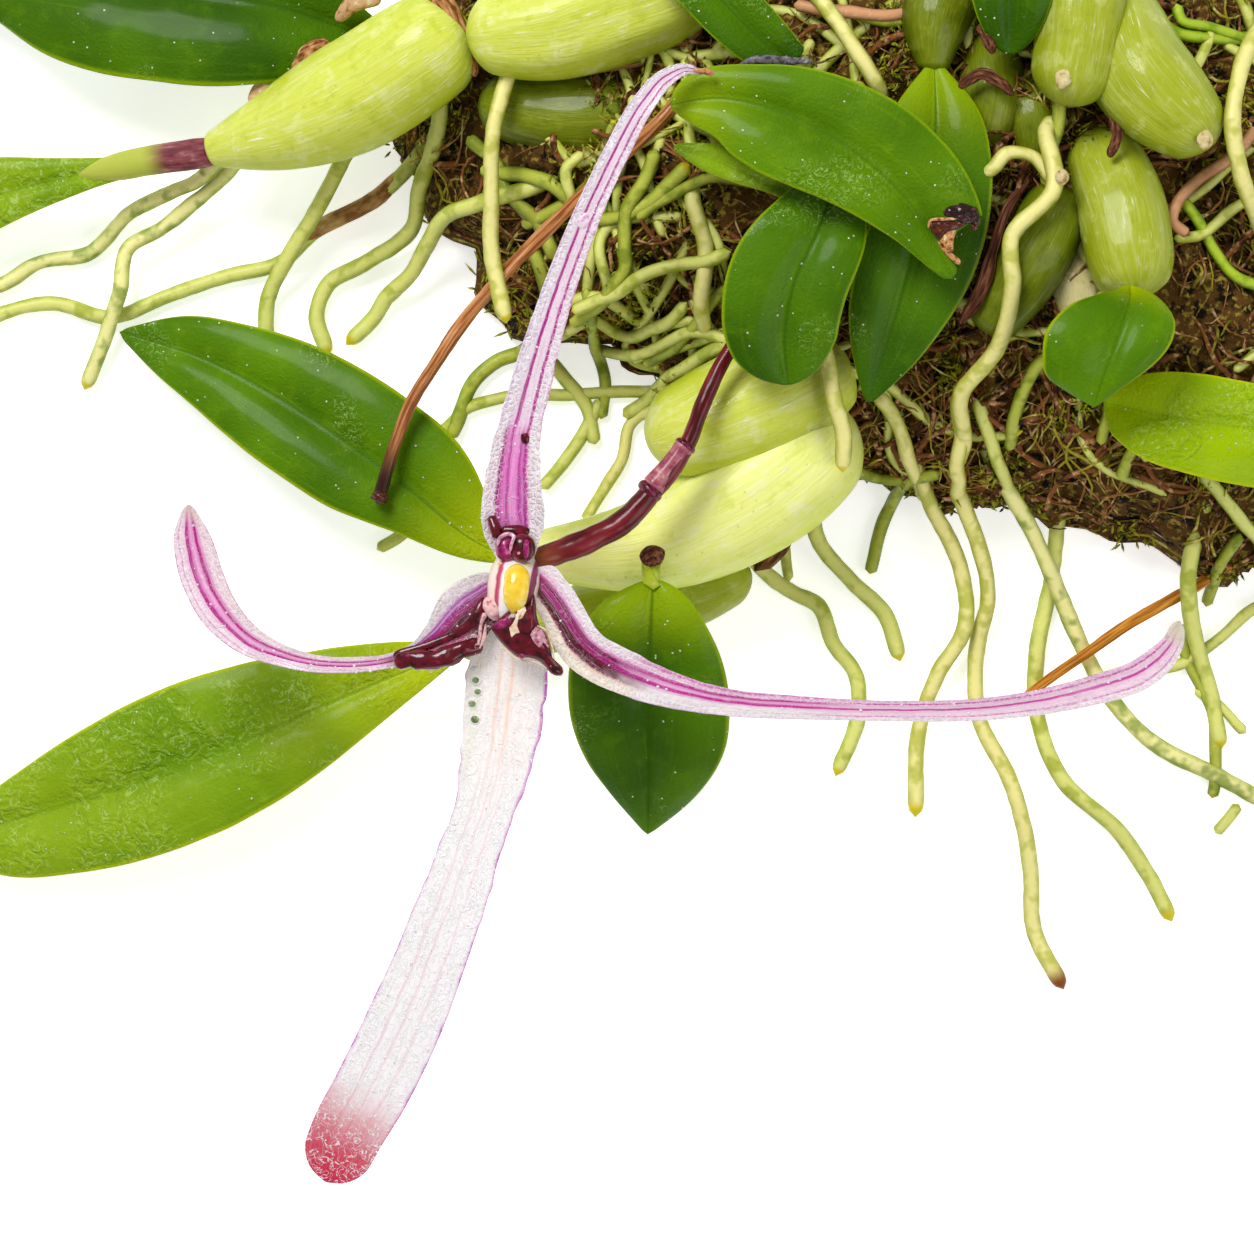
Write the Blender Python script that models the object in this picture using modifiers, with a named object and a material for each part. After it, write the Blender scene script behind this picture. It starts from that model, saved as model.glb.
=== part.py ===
"""Bulbophyllum orchid: a flowering plant lying on the flat underside of its mossy root mass.

The plant spreads in the XY plane and the flower faces +Z. Every length below is in millimetres.
A path is a row of (x, y, z) points that a smooth curve passes through. A row of widths or radii
is read at even steps from the first point of the path to the last.
"""
from dataclasses import dataclass
import math

import bmesh
import bpy
import numpy as np

MM = 0.001
OBJECT_NAME = "bulbophyllum_orchid"
GAP = 0.35                # clearance left round a piece that sits in another
LEAF_THICKNESS = 1.0
TEPAL_THICKNESS = 0.8
LEAF_CELLS = (10, 4)      # cells along and across a leaf
BULB_FACETS = (12, 8)     # segments round a pseudobulb and rings along it
ROOT_RADIUS = 1.1
MASS_HEIGHT = 31.5
MASS_FACETS = (38, 14)    # segments round the root mass and rings from its top to its underside
DOME_RINGS = 11           # rings of the root mass that belong to the dome
RIM_RINGS = ((0.985, 1.2), (0.955, 0.0), (0.0, 0.0))   # (share of the outline, height) below the dome

# Outline of the root mass: (degrees from +X, radius).
MASS_OUTLINE = (
    (0, 70), (30, 67), (60, 60), (90, 59), (120, 60), (150, 72), (170, 79), (190, 78), (200, 69),
    (207, 58), (215, 55), (226, 58), (238, 53), (251, 47), (262, 47), (276, 50), (285, 57),
    (294, 64), (304, 74), (317, 76), (332, 73), (346, 71),
)


@dataclass(frozen=True)
class Blade:
    """A leaf or tepal: a thin strip along a path, wider or narrower to its left and right."""
    name: str
    finish: str
    path: tuple
    left: tuple
    right: tuple
    cup: float = 0.08          # rise of both edges, as a share of the half width
    roll: float = 0.0          # degrees the blade leans about its own path
    wave: float = 0.0          # height of the ripple along the edges
    cells: tuple = LEAF_CELLS
    thickness: float = LEAF_THICKNESS
    trimmed_by: tuple = ()


@dataclass(frozen=True)
class Swelling:
    """A pseudobulb or another fleshy lump: rounded rings strung along a path."""
    name: str
    finish: str
    path: tuple
    radii: tuple
    ribs: float = 0.025        # depth of the lengthwise ribs, as a share of the radius
    flat: float = 1.0          # height over width of each ring
    facets: tuple = BULB_FACETS
    trimmed_by: tuple = ()


@dataclass(frozen=True)
class Strand:
    """A root, stalk or rhizome: a round strand along a path."""
    name: str
    finish: str
    path: tuple
    radii: tuple = (ROOT_RADIUS, ROOT_RADIUS, ROOT_RADIUS)
    points: int = 14
    sides: int = 6
    trimmed_by: tuple = ()


FINISHES = {
    "leaf": ((0.09, 0.25, 0.02), 0.3),
    "young_leaf": ((0.30, 0.46, 0.03), 0.3),
    "bulb": ((0.46, 0.55, 0.10), 0.4),
    "root": ((0.55, 0.56, 0.24), 0.6),
    "dry_stem": ((0.38, 0.15, 0.06), 0.7),
    "purple_stem": ((0.12, 0.01, 0.03), 0.3),
    "rhizome": ((0.16, 0.08, 0.03), 0.8),
    "petal": ((0.80, 0.60, 0.70), 0.4),
    "sepal": ((0.85, 0.78, 0.80), 0.4),
    "column": ((0.85, 0.62, 0.52), 0.35),
    "anther": ((0.85, 0.50, 0.02), 0.35),
    "lip": ((0.09, 0.005, 0.012), 0.25),
    "fibre": ((0.07, 0.035, 0.015), 0.95),
}

PSEUDOBULBS = (
    Swelling("left_bulb", "bulb", ((-72.2, 15.5, 23.5), (-79, 13, 23), (-91, 7.5, 19), (-107.5, 2.5, 14)),
             (5.5, 8.4, 9.0, 8.0, 6.4, 4.5, 2.3)),
    Swelling("upper_bulb", "bulb", ((-35.5, 26, 27), (-47.5, 22, 28), (-59, 18.5, 28.5), (-68.5, 17.5, 29)),
             (6.0, 8.0, 8.6, 8.6, 8.0, 6.2, 3.0)),
    Swelling("shaded_bulb", "bulb", ((-43, 7.5, 23), (-56, 7, 21), (-68, 9, 19.5)),
             (4.0, 5.5, 6.2, 6.2, 5.6, 4.4, 2.4), trimmed_by=("upper_bulb",)),
    Swelling("stalk_bulb", "bulb", ((-15, -28, 23), (-26.5, -34, 23.5), (-41.5, -39.5, 23.5)),
             (5.5, 7.6, 8.2, 8.2, 7.4, 5.6, 3.0), trimmed_by=("front_bulb",)),
    Swelling("front_bulb", "bulb", ((-14.5, -36, 19), (-27, -46.5, 19.5), (-42, -54.5, 18.5), (-64.5, -56.5, 16.5)),
             (7.0, 8.8, 9.0, 8.0, 6.4, 4.4, 2.2)),
    Swelling("lower_bulb", "bulb", ((-28.5, -58.5, 9), (-42, -63.5, 7.5), (-56.5, -66, 7.5), (-71.5, -70, 9)),
             (3.4, 4.6, 5.0, 5.0, 4.4, 3.4, 2.0), trimmed_by=("front_bulb",)),
    Swelling("crown_bulb", "bulb", ((17.5, 30, 38), (17, 18, 40), (15, 7, 39.5)),
             (4.0, 5.5, 6.0, 6.0, 5.8, 5.0, 3.0)),
    Swelling("scar_bulb", "bulb", ((22, 23, 30), (27, 10.5, 37), (34.5, 0, 40)),
             (4.4, 5.7, 6.2, 6.2, 5.8, 4.6, 2.6), trimmed_by=("crown_bulb",)),
    Swelling("heart_bulb", "bulb", ((20, 4.5, 33), (23.5, -7.5, 36), (24.5, -20.5, 39)),
             (4.0, 5.4, 6.2, 6.3, 5.9, 4.6, 2.4), trimmed_by=("crown_bulb", "scar_bulb")),
    Swelling("dark_bulb", "bulb", ((0.5, 27.5, 31), (-3, 19, 34), (-3.5, 11.5, 35)),
             (4.0, 5.0, 5.2, 5.0, 4.4, 3.2, 2.0)),
    Swelling("root_bulb", "bulb", ((15.5, -4.5, 32), (10.5, -14.5, 33), (4, -25, 31)),
             (3.4, 4.8, 5.4, 5.5, 5.2, 4.2, 2.6), trimmed_by=("heart_bulb",)),
    Swelling("hidden_bulb", "bulb", ((-22, 2, 31), (-29, 4.5, 32), (-37, 7, 36)),
             (4.0, 4.8, 5.0, 4.8, 4.2, 3.0, 1.8)),
    Swelling("top_bulb", "bulb", ((-18, 46, 22), (-32, 44, 25), (-47.5, 41, 27)),
             (4.4, 6.2, 6.8, 6.6, 5.8, 4.4, 2.2), trimmed_by=("upper_bulb",)),
    Swelling("right_bulb", "bulb", ((59, -16, 17), (64, -28, 18), (68, -40.5, 20)),
             (4.4, 6.2, 6.8, 6.6, 5.8, 4.4, 2.2)),
)

LEAVES = (
    Blade("left_leaf", "leaf",
          ((-63.3, -57, 16.6), (-69, -54.2, 16.4), (-78, -47, 15.5), (-92.5, -36.5, 13), (-108.5, -27.5, 9), (-121, -23.5, 5)),
          (0.9, 5.0, 7.5, 9.3, 9.5, 9.0, 7.5, 5.0, 0.6), (0.9, 6.5, 9.8, 10.3, 10.0, 9.0, 7.0, 4.8, 0.6),
          trimmed_by=("front_bulb",)),
    Blade("lower_left_leaf", "young_leaf",
          ((-70.3, -69.6, 8.8), (-76, -72, 9.8), (-87, -76.5, 11), (-109, -86, 9.5), (-131.5, -93.5, 6.5), (-150, -98.5, 4)),
          (0.9, 3.0, 6.0, 8.5, 10.0, 10.5, 9.5, 7.0, 0.6), (0.9, 6.0, 9.0, 11.3, 11.5, 10.5, 8.0, 4.5, 0.6),
          trimmed_by=("lower_bulb",)),
    Blade("centre_leaf", "leaf",
          ((-42.4, -54.5, 24.5), (-42.5, -57.8, 26.8), (-42.6, -61.5, 27.5), (-43.3, -68, 26.5), (-43.5, -77, 24), (-43.5, -89, 18),
           (-43.5, -96.5, 12)),
          (1.3, 2.6, 7.5, 10.3, 11.2, 10.8, 9.2, 6.0, 0.6), (1.3, 2.6, 8.0, 10.8, 11.6, 11.0, 9.2, 6.0, 0.6),
          cells=(12, 4), trimmed_by=("front_bulb",)),
    Blade("top_left_leaf", "leaf",
          ((-68, 12.5, 7), (-76, 16, 11), (-85, 19, 15.5), (-95.5, 22.5, 18), (-112.5, 25.5, 17), (-132, 28, 13),
           (-149, 28, 7)),
          (0.9, 1.2, 4.5, 10.2, 13.0, 13.8, 14.0, 12.2, 6.8, 0.6), (0.9, 1.2, 3.0, 7.0, 10.3, 12.2, 12.5, 11.4, 7.0, 0.6),
          cells=(13, 4), trimmed_by=("left_bulb",)),
    Blade("far_left_leaf", "young_leaf",
          ((-106.5, 2.7, 14), (-116, 1, 12.8), (-125, -0.5, 11), (-138.5, -3.5, 9), (-152, -6.5, 6), (-165, -9.5, 3)),
          (1.8, 1.8, 2.0, 3.0, 4.2, 6.0, 7.5, 5.5, 0.6), (1.8, 1.6, 1.6, 3.0, 5.0, 6.5, 6.0, 3.8, 0.6),
          trimmed_by=("left_bulb",)),
    Blade("torn_leaf", "leaf",
          ((-38.5, 6.8, 34.5), (-39.3, 8.2, 39), (-36, 8.4, 43), (-28, 6, 45), (-15.5, -0.5, 46), (-6.5, -8, 45.3), (-0.5, -16.5, 43.5)),
          (1.0, 1.4, 4.6, 6.2, 7.4, 8.8, 9.0, 8.2, 6.2, 0.7), (1.0, 1.6, 6.0, 8.8, 9.4, 8.6, 7.2, 6.2, 4.2, 0.7),
          cells=(14, 4), trimmed_by=("hidden_bulb",)),
    Blade("under_leaf", "leaf",
          ((-20.5, -7, 29.5), (-27, -4.5, 37.8), (-34.5, -1.5, 40), (-40, 0.5, 39.5)),
          (1.0, 2.6, 3.8, 4.0, 2.8, 0.6), (1.0, 2.4, 3.0, 3.0, 2.2, 0.6), cells=(8, 4)),
    Blade("round_leaf", "leaf",
          ((-16, -3, 29), (-18, -6.5, 38), (-20, -11.5, 41), (-23, -18, 41.3), (-24.5, -26, 39.5), (-24, -32.5, 37)),
          (0.9, 1.6, 4.6, 6.6, 7.4, 7.5, 7.4, 6.4, 0.7), (0.9, 1.6, 4.6, 7.0, 8.6, 9.5, 9.2, 6.6, 0.7),
          cells=(12, 4)),
    Blade("dark_leaf", "leaf",
          ((-3.3, 12.3, 35.3), (-3.3, 3, 37.2), (-5, -8, 36), (-8, -20.5, 34.8), (-12.5, -35, 33)),
          (1.2, 5.6, 8.2, 9.3, 9.4, 8.5, 6.6, 4.0, 0.6), (1.2, 5.6, 6.8, 7.0, 7.0, 7.4, 6.8, 4.4, 0.6),
          trimmed_by=("dark_bulb",)),
    Blade("upper_leaf", "leaf",
          ((-49, 40, 27.5), (-45.5, 36, 34), (-40, 29, 38.6), (-32, 19.5, 39.8), (-23.5, 11.5, 39.4)),
          (1.2, 3.6, 4.6, 4.8, 4.6, 4.2, 3.2), (1.2, 3.6, 4.6, 4.8, 4.6, 4.2, 3.2), trimmed_by=("top_bulb",)),
    Blade("top_right_leaf", "leaf",
          ((6, 48, 15.5), (6.3, 42, 34), (7, 31, 42), (7, 20.5, 43.5), (7, 13.5, 40.5)),
          (1.2, 4.0, 5.6, 6.0, 5.8, 4.4, 0.7), (1.2, 4.0, 5.6, 6.0, 5.8, 4.4, 0.7)),
    Blade("heart_leaf", "leaf",
          ((24.4, -19.8, 39.6), (23.8, -22, 43), (22, -26, 45.5), (20, -31, 45.5), (19, -35.5, 42.5)),
          (1.0, 5.6, 7.4, 7.0, 5.8, 4.4, 2.6, 0.6), (1.0, 5.6, 8.2, 9.2, 9.6, 9.0, 6.4, 0.6),
          trimmed_by=("heart_bulb",)),
    Blade("right_leaf", "young_leaf",
          ((67.5, -40.5, 20.5), (62, -41.5, 23.5), (50.5, -39.5, 29), (37, -38, 33), (27, -36.5, 34), (21, -35, 33)),
          (1.2, 4.0, 7.0, 8.3, 8.5, 8.2, 7.2, 5.2, 0.6), (1.2, 3.4, 4.8, 5.5, 6.0, 6.4, 6.4, 5.0, 0.6),
          trimmed_by=("right_bulb",)),
)

FLOWER_BLADES = (
    Blade("dorsal_sepal", "petal",
          ((-62.1, -58.4, 39), (-62.4, -54, 39.4), (-62.6, -49.5, 40.5), (-62.5, -46, 41.3), (-62, -40.5, 42), (-60.5, -33.5, 43),
           (-58.5, -25.5, 44.5), (-56, -17, 46), (-53, -8.5, 47.5), (-49.5, -1, 48.5), (-46, 5.5, 49),
           (-42, 9, 48.5), (-38, 10.5, 47.5), (-35, 10, 46.5)),
          (2.0, 4.4, 3.8, 3.1, 2.9, 2.8, 2.7, 2.5, 2.3, 2.0, 1.5, 0.9, 0.5),
          (2.0, 4.4, 3.8, 3.1, 2.9, 2.8, 2.7, 2.5, 2.3, 2.0, 1.5, 0.9, 0.5),
          cup=0.25, cells=(22, 4), thickness=TEPAL_THICKNESS, trimmed_by=("column",)),
    Blade("left_petal", "petal",
          ((-64.2, -60.6, 39.8), (-69.5, -64.5, 40.5), (-74, -68.5, 40.5), (-79, -71, 39.5), (-87, -72, 37.5),
           (-94, -71, 36), (-100, -68.5, 35), (-104, -64.5, 34.5), (-106.5, -60, 34), (-108, -54.5, 34),
           (-108.5, -49.5, 34.5)),
          (1.6, 4.0, 5.0, 4.6, 2.4, 1.4, 1.3, 1.3, 1.5, 1.6, 1.9, 2.3, 2.5, 2.3, 2.1, 1.9, 0.7),
          (2.2, 3.2, 3.2, 2.2, 0.9, 0.8, 1.0, 1.0, 1.1, 1.4, 1.9, 2.1, 2.3, 2.6, 2.7, 2.1, 0.6),
          cup=0.2, cells=(20, 4), thickness=TEPAL_THICKNESS, trimmed_by=("column",)),
    Blade("right_petal", "petal",
          ((-60.3, -59.4, 39.8), (-56.8, -63.6, 40.5), (-52.5, -69.5, 40), (-46, -73.5, 39), (-36.5, -76.5, 37.5),
           (-22, -78, 35.5), (-8, -78.5, 34), (6, -78, 32.5), (19, -75.5, 31.5), (27, -72.5, 31.5),
           (30.5, -69, 32), (31.5, -66, 33)),
          (1.8, 2.4, 2.7, 3.0, 2.5, 1.9, 1.6, 1.5, 1.4, 1.3, 1.3, 1.4, 1.5, 1.7, 1.8, 1.8, 0.9),
          (1.8, 2.7, 3.6, 3.2, 2.7, 2.2, 2.0, 1.8, 1.6, 1.6, 1.7, 1.8, 2.0, 2.3, 2.6, 2.4, 0.9),
          cup=0.15, cells=(24, 4), thickness=TEPAL_THICKNESS, trimmed_by=("column",)),
    Blade("lower_sepal", "sepal",
          ((-62.8, -64.4, 39.6), (-63, -70, 37.8), (-63.3, -77, 36.5), (-64, -83.5, 35.5), (-66, -90.5, 35),
           (-69, -98.5, 33.5), (-71, -105.5, 32), (-74.5, -112.5, 30.5), (-77, -120, 28.5), (-80.5, -127, 26.5),
           (-84.5, -134.5, 24), (-88, -140.5, 22), (-91, -147, 19.5)),
          (2.4, 5.4, 5.6, 4.6, 4.0, 4.2, 4.7, 5.1, 5.2, 5.4, 5.3, 4.4, 1.6),
          (2.4, 5.4, 5.4, 4.4, 3.8, 4.0, 4.4, 4.6, 5.0, 5.1, 4.9, 4.2, 1.6),
          cup=0.06, wave=0.3, cells=(18, 4), thickness=TEPAL_THICKNESS, trimmed_by=("column",)),
)

FLOWER_LUMPS = (
    Swelling("column", "column", ((-60.6, -57.4, 37.2), (-61.9, -58.6, 39.6), (-62.5, -61.8, 41.3), (-63, -66.4, 41.2)),
             (1.7, 2.5, 3.1, 3.3, 3.0, 2.0), ribs=0.0, flat=0.85, facets=(12, 8)),
    Swelling("anther_cap", "anther", ((-62.1, -58.2, 44), (-62.1, -61, 45.2), (-62.4, -64.4, 44.6)),
             (1.1, 1.7, 1.8, 1.5, 0.5), ribs=0.0, flat=0.7, facets=(10, 7), trimmed_by=("column",)),
    Swelling("lip", "lip", ((-63, -64.9, 43), (-62, -67.7, 44.4), (-59.7, -70.3, 44.2), (-56, -73.1, 42.6)),
             (1.4, 3.2, 3.1, 2.0, 0.6), ribs=0.0, flat=0.36, facets=(10, 8), trimmed_by=("column", "anther_cap")),
    Swelling("flower_knob", "lip", ((-64.6, -55.6, 41.4), (-62.2, -55.6, 41.6), (-59.6, -55.6, 41.4)),
             (1.1, 1.8, 2.0, 1.8, 1.1), ribs=0.0, facets=(10, 7), trimmed_by=("column", "dorsal_sepal")),
)

STEMS = (
    Strand("flower_stalk", "purple_stem",
           ((-20, -10, 26), (-22.5, -13.5, 30), (-27.5, -20, 33), (-31.5, -26.5, 34.5), (-35.5, -34, 35.5),
            (-38.5, -41.5, 35.5), (-42.5, -47, 35.5), (-47.5, -52, 35.8), (-52, -54.5, 36), (-60.6, -57.9, 37.4)),
           (1.1, 1.1, 1.1, 1.15, 1.5, 1.2, 1.7, 1.9, 1.8, 1.5), points=20, sides=8,
           trimmed_by=("column", "dorsal_sepal")),
    Strand("old_flower_stem", "dry_stem",
           ((-37, 13, 26), (-40, 7.5, 30), (-47.5, 0, 28.5), (-56, -8, 25), (-65.5, -17.5, 22.5), (-72, -25.5, 21),
            (-77, -33.5, 20), (-80, -40.5, 19.5), (-82.5, -48.5, 19)),
           (1.0, 0.9, 0.9, 0.9, 1.0, 0.9, 0.7)),
    Strand("upper_rhizome", "rhizome",
           ((-38, 22, 13), (-50, 20, 15.3), (-61, 18.5, 16), (-67, 18, 19.5), (-69.2, 18, 23.3)),
           (2.4, 2.4, 2.2), points=9, trimmed_by=("upper_bulb", "left_bulb")),
    Strand("lower_rhizome", "rhizome", ((-13, -36, 8), (-20, -47, 6.5), (-27, -57.3, 8)),
           (2.4, 2.4, 2.2), points=7, trimmed_by=("lower_bulb", "front_bulb")),
)

ROOTS = (
    Strand("crossing_root", "root",
           ((-63.5, 12, 27.5), (-65.5, 5, 28.5), (-66, -4.5, 27), (-66, -13, 25), (-64, -22.5, 24.5)),
           trimmed_by=("upper_bulb", "shaded_bulb")),
    Strand("far_left_root", "root",
           ((-105.5, 2, 11.5), (-109.5, -1.5, 8), (-113.5, -3, 6), (-120, -6, 3.5), (-126, -11.5, 1.5),
            (-133.5, -13, 1.5), (-140, -16.5, 1.5), (-146, -16, 1.5)), trimmed_by=("left_bulb",)),
    Strand("left_hook_root", "root",
           ((-102, 3, 10.5), (-106.5, -1.5, 8), (-111.5, -5.5, 6.2), (-115.5, -8.5, 5.4), (-120, -11, 5),
            (-121.3, -17.5, 5.2), (-123.5, -24, 3.4), (-126.5, -31, 1.5)), trimmed_by=("left_bulb",)),
    Strand("left_short_root", "root",
           ((-86.5, 4, 12.5), (-89, -0.5, 10.5), (-92.5, -6.5, 8), (-96.5, -12.5, 5.5), (-99.5, -18, 2.5),
            (-100, -24.5, 1.5)), trimmed_by=("left_bulb",)),
    Strand("long_left_root", "root",
           ((-66, 12.5, 12), (-69.5, 10, 12), (-75, 4.5, 9.5), (-83, -3.5, 6), (-92, -8, 3.2), (-98, -13, 1.5),
            (-106, -15, 1.5), (-113.5, -17.5, 1.5), (-123.5, -21, 1.5), (-131, -19, 1.5), (-139, -20.5, 1.5),
            (-144.5, -23.5, 1.5)), points=18),
    Strand("fork_root", "root",
           ((-73.5, 13, 18), (-73.7, 7, 15.5), (-75, 2, 12.5), (-77, -3, 9.5), (-78, -8, 6.5), (-85, -13, 3),
            (-91, -16.5, 1.6), (-92.5, -20.5, 1.5), (-91, -26, 1.5)), points=16,
           trimmed_by=("left_bulb", "shaded_bulb")),
    Strand("wavy_root", "root",
           ((-53, 0, 20), (-60, -3.5, 21), (-68, -5.5, 17), (-73, -7, 12.5), (-76, -11, 8), (-78.5, -15, 5),
            (-82, -18, 2.5), (-84, -21, 1.6), (-87.5, -24.5, 1.5)), points=15, trimmed_by=("shaded_bulb",)),
    Strand("middle_root", "root",
           ((-36, 1, 24), (-37.3, -6, 29.5), (-35.5, -12.5, 29), (-36, -20, 27), (-35, -25, 19)), points=11),
    Strand("leaf_root", "root",
           ((-21.5, -19.5, 22), (-19.8, -23.5, 31), (-18.5, -28, 33.4), (-17.5, -34, 32.8), (-16, -39, 30.6),
            (-16, -44, 29)), points=12),
    Strand("lower_root", "root",
           ((-10.5, -30.5, 20), (-6, -39.5, 15.5), (-2.5, -48, 8.5), (2.5, -58.5, 5), (3, -67, 4.5), (-1, -74, 3),
            (-3.5, -82, 1.5), (-4, -94, 1.5)), points=15),
    Strand("longest_root", "root",
           ((15.5, 5, 30), (12.5, 3.5, 36), (13, -5.5, 40), (7, -12.5, 40.5), (7.5, -19.5, 38.8), (6, -27, 34.5),
            (1, -33.5, 28), (2, -40, 20), (1, -44.5, 13.5), (4.5, -54, 8.5), (6.5, -63, 5), (5, -70, 2),
            (5.5, -80.5, 1.5), (10, -89.5, 1.5), (13, -102.5, 1.5), (13.5, -111.5, 1.5), (17.5, -119.5, 1.5)),
           points=26, trimmed_by=("crown_bulb", "root_bulb")),
    Strand("slant_root", "root",
           ((2.5, -34, 20), (7.5, -44.5, 13), (14, -55, 7), (20, -68.5, 2), (24, -76, 1.5), (32, -84.5, 1.5),
            (39, -88, 1.5), (48.5, -93, 1.5)), points=15),
    Strand("rear_root", "root",
           ((17, -50, 3.5), (16, -60, 1.5), (14, -70, 1.5), (14, -80, 1.5), (17.5, -89, 1.5), (26, -97, 1.5),
            (30.5, -103.5, 1.5), (33.5, -109.5, 1.5)), points=14),
    Strand("front_short_root", "root",
           ((-20, -47, 9.5), (-18.5, -54, 6), (-13.5, -60, 3), (-8.5, -65, 1.5), (-6.5, -71, 1.5)), points=11,
           trimmed_by=("front_bulb", "lower_rhizome")),
    Strand("front_long_root", "root",
           ((-28.5, -56.3, 5.6), (-26, -59, 3.4), (-22.5, -61.5, 2), (-18.5, -63.5, 1.6), (-16, -69.5, 1.5), (-13, -73.5, 1.5),
            (-12.5, -80, 1.5), (-15.5, -88, 1.5)), points=13, trimmed_by=("lower_bulb", "lower_rhizome")),
    Strand("right_front_root", "root",
           ((38.5, -44, 18), (36.5, -52, 13), (35.5, -60, 8.5), (37, -68.5, 4), (39.5, -76, 1.5), (41, -84, 1.5)),
           points=12),
    Strand("orange_stem", "dry_stem", ((54, -46, 7), (50, -52, 5), (41.5, -58, 4.6), (27, -66.5, 4.6), (12, -77, 4.6)),
           (0.9, 0.9, 0.7), points=9),
    Strand("crown_root", "root",
           ((-25, 30, 20), (-21, 24.5, 32.5), (-15.5, 16, 36.3), (-11.8, 10.3, 36.4), (-10, 7, 29)), points=11,
           trimmed_by=("upper_bulb",)),
    Strand("edge_root", "root",
           ((48, 27, 14), (45, 21, 32), (39.5, 12, 40), (37.8, 4, 42.3), (39, -2.5, 41.5), (43.5, -12, 34),
            (48, -18, 18)), points=14),
)

MASS_TRIMMED_BY = (
    "upper_bulb", "shaded_bulb", "stalk_bulb", "front_bulb", "crown_bulb", "scar_bulb", "heart_bulb",
    "dark_bulb", "root_bulb", "hidden_bulb", "top_bulb", "right_bulb", "upper_rhizome", "lower_rhizome",
    "flower_stalk", "old_flower_stem", "long_left_root", "wavy_root", "middle_root", "leaf_root",
    "lower_root", "longest_root", "slant_root", "rear_root", "right_front_root", "crown_root", "edge_root",
    "under_leaf", "round_leaf", "top_left_leaf", "top_right_leaf", "dark_leaf", "orange_stem",
)


def smooth_rows(rows, count):
    """Return count points, evenly spaced, on a smooth curve through the rows."""
    rows = np.array(rows, float)
    steps = np.linalg.norm(np.diff(rows, axis=0), axis=1)
    at = np.concatenate(([0.0], np.cumsum(steps)))
    slope = np.gradient(rows, at, axis=0)
    where = np.linspace(0.0, at[-1], count)
    i = np.clip(np.searchsorted(at, where, side="right") - 1, 0, len(at) - 2)
    span = (at[i + 1] - at[i])[:, None]
    x = (where - at[i])[:, None] / span
    return ((2 * x**3 - 3 * x**2 + 1) * rows[i] + (x**3 - 2 * x**2 + x) * span * slope[i]
            + (3 * x**2 - 2 * x**3) * rows[i + 1] + (x**3 - x**2) * span * slope[i + 1])


def read_row(values, s):
    """Read an even row of values at the shares s (0 to 1) with a smooth curve."""
    values = np.array(values, float)
    at = np.arange(len(values), dtype=float)
    slope = np.gradient(values)
    where = np.clip(s, 0.0, 1.0) * (len(values) - 1)
    i = np.clip(where.astype(int), 0, len(values) - 2)
    x = where - at[i]
    return ((2 * x**3 - 3 * x**2 + 1) * values[i] + (x**3 - 2 * x**2 + x) * slope[i]
            + (3 * x**2 - 2 * x**3) * values[i + 1] + (x**3 - x**2) * slope[i + 1])


def frames(points):
    """Return the unit tangent, left and upward directions at each point of a path."""
    tangent = np.gradient(points, axis=0)
    tangent /= np.linalg.norm(tangent, axis=1)[:, None]
    left = np.cross((0.0, 0.0, 1.0), tangent)
    left /= np.linalg.norm(left, axis=1)[:, None]
    return tangent, left, np.cross(tangent, left)


def at_share(table, s):
    """Read the rows of a table at the shares s (0 to 1) of its length."""
    where = np.clip(s, 0.0, 1.0) * (len(table) - 1)
    i = np.clip(where.astype(int), 0, len(table) - 2)
    x = (where - i)[:, None]
    return (1 - x) * table[i] + x * table[i + 1]


def clear_scene():
    """Remove every object that is already in the file."""
    for other in list(bpy.data.objects):
        bpy.data.objects.remove(other, do_unlink=True)


def new_collection(name, parent):
    """Add a collection under another."""
    made = bpy.data.collections.new(name)
    parent.children.link(made)
    return made


def make_finish(name, colour, roughness):
    """Make one Principled material."""
    finish = bpy.data.materials.new(name)
    finish.use_nodes = True
    finish.diffuse_color = (*colour, 1.0)
    shader = finish.node_tree.nodes["Principled BSDF"]
    shader.inputs["Base Color"].default_value = (*colour, 1.0)
    shader.inputs["Roughness"].default_value = roughness
    return finish


def add_node(name, finish, mesh, home):
    """Add a named object with its own material to the object's collection."""
    node = bpy.data.objects.new(name, mesh)
    mesh.materials.clear()
    mesh.materials.append(make_finish(name + "_finish", *FINISHES[finish]))
    home.objects.link(node)
    return node


def mesh_from(shape, name):
    """Turn a bmesh into a mesh and free it."""
    bmesh.ops.recalc_face_normals(shape, faces=shape.faces)
    mesh = bpy.data.meshes.new(name)
    shape.to_mesh(mesh)
    shape.free()
    return mesh


def move_vertices(shape, points):
    """Place the vertices of a bmesh at the given points, in millimetres."""
    for vertex, point in zip(shape.verts, points):
        vertex.co = [value * MM for value in point]


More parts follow.
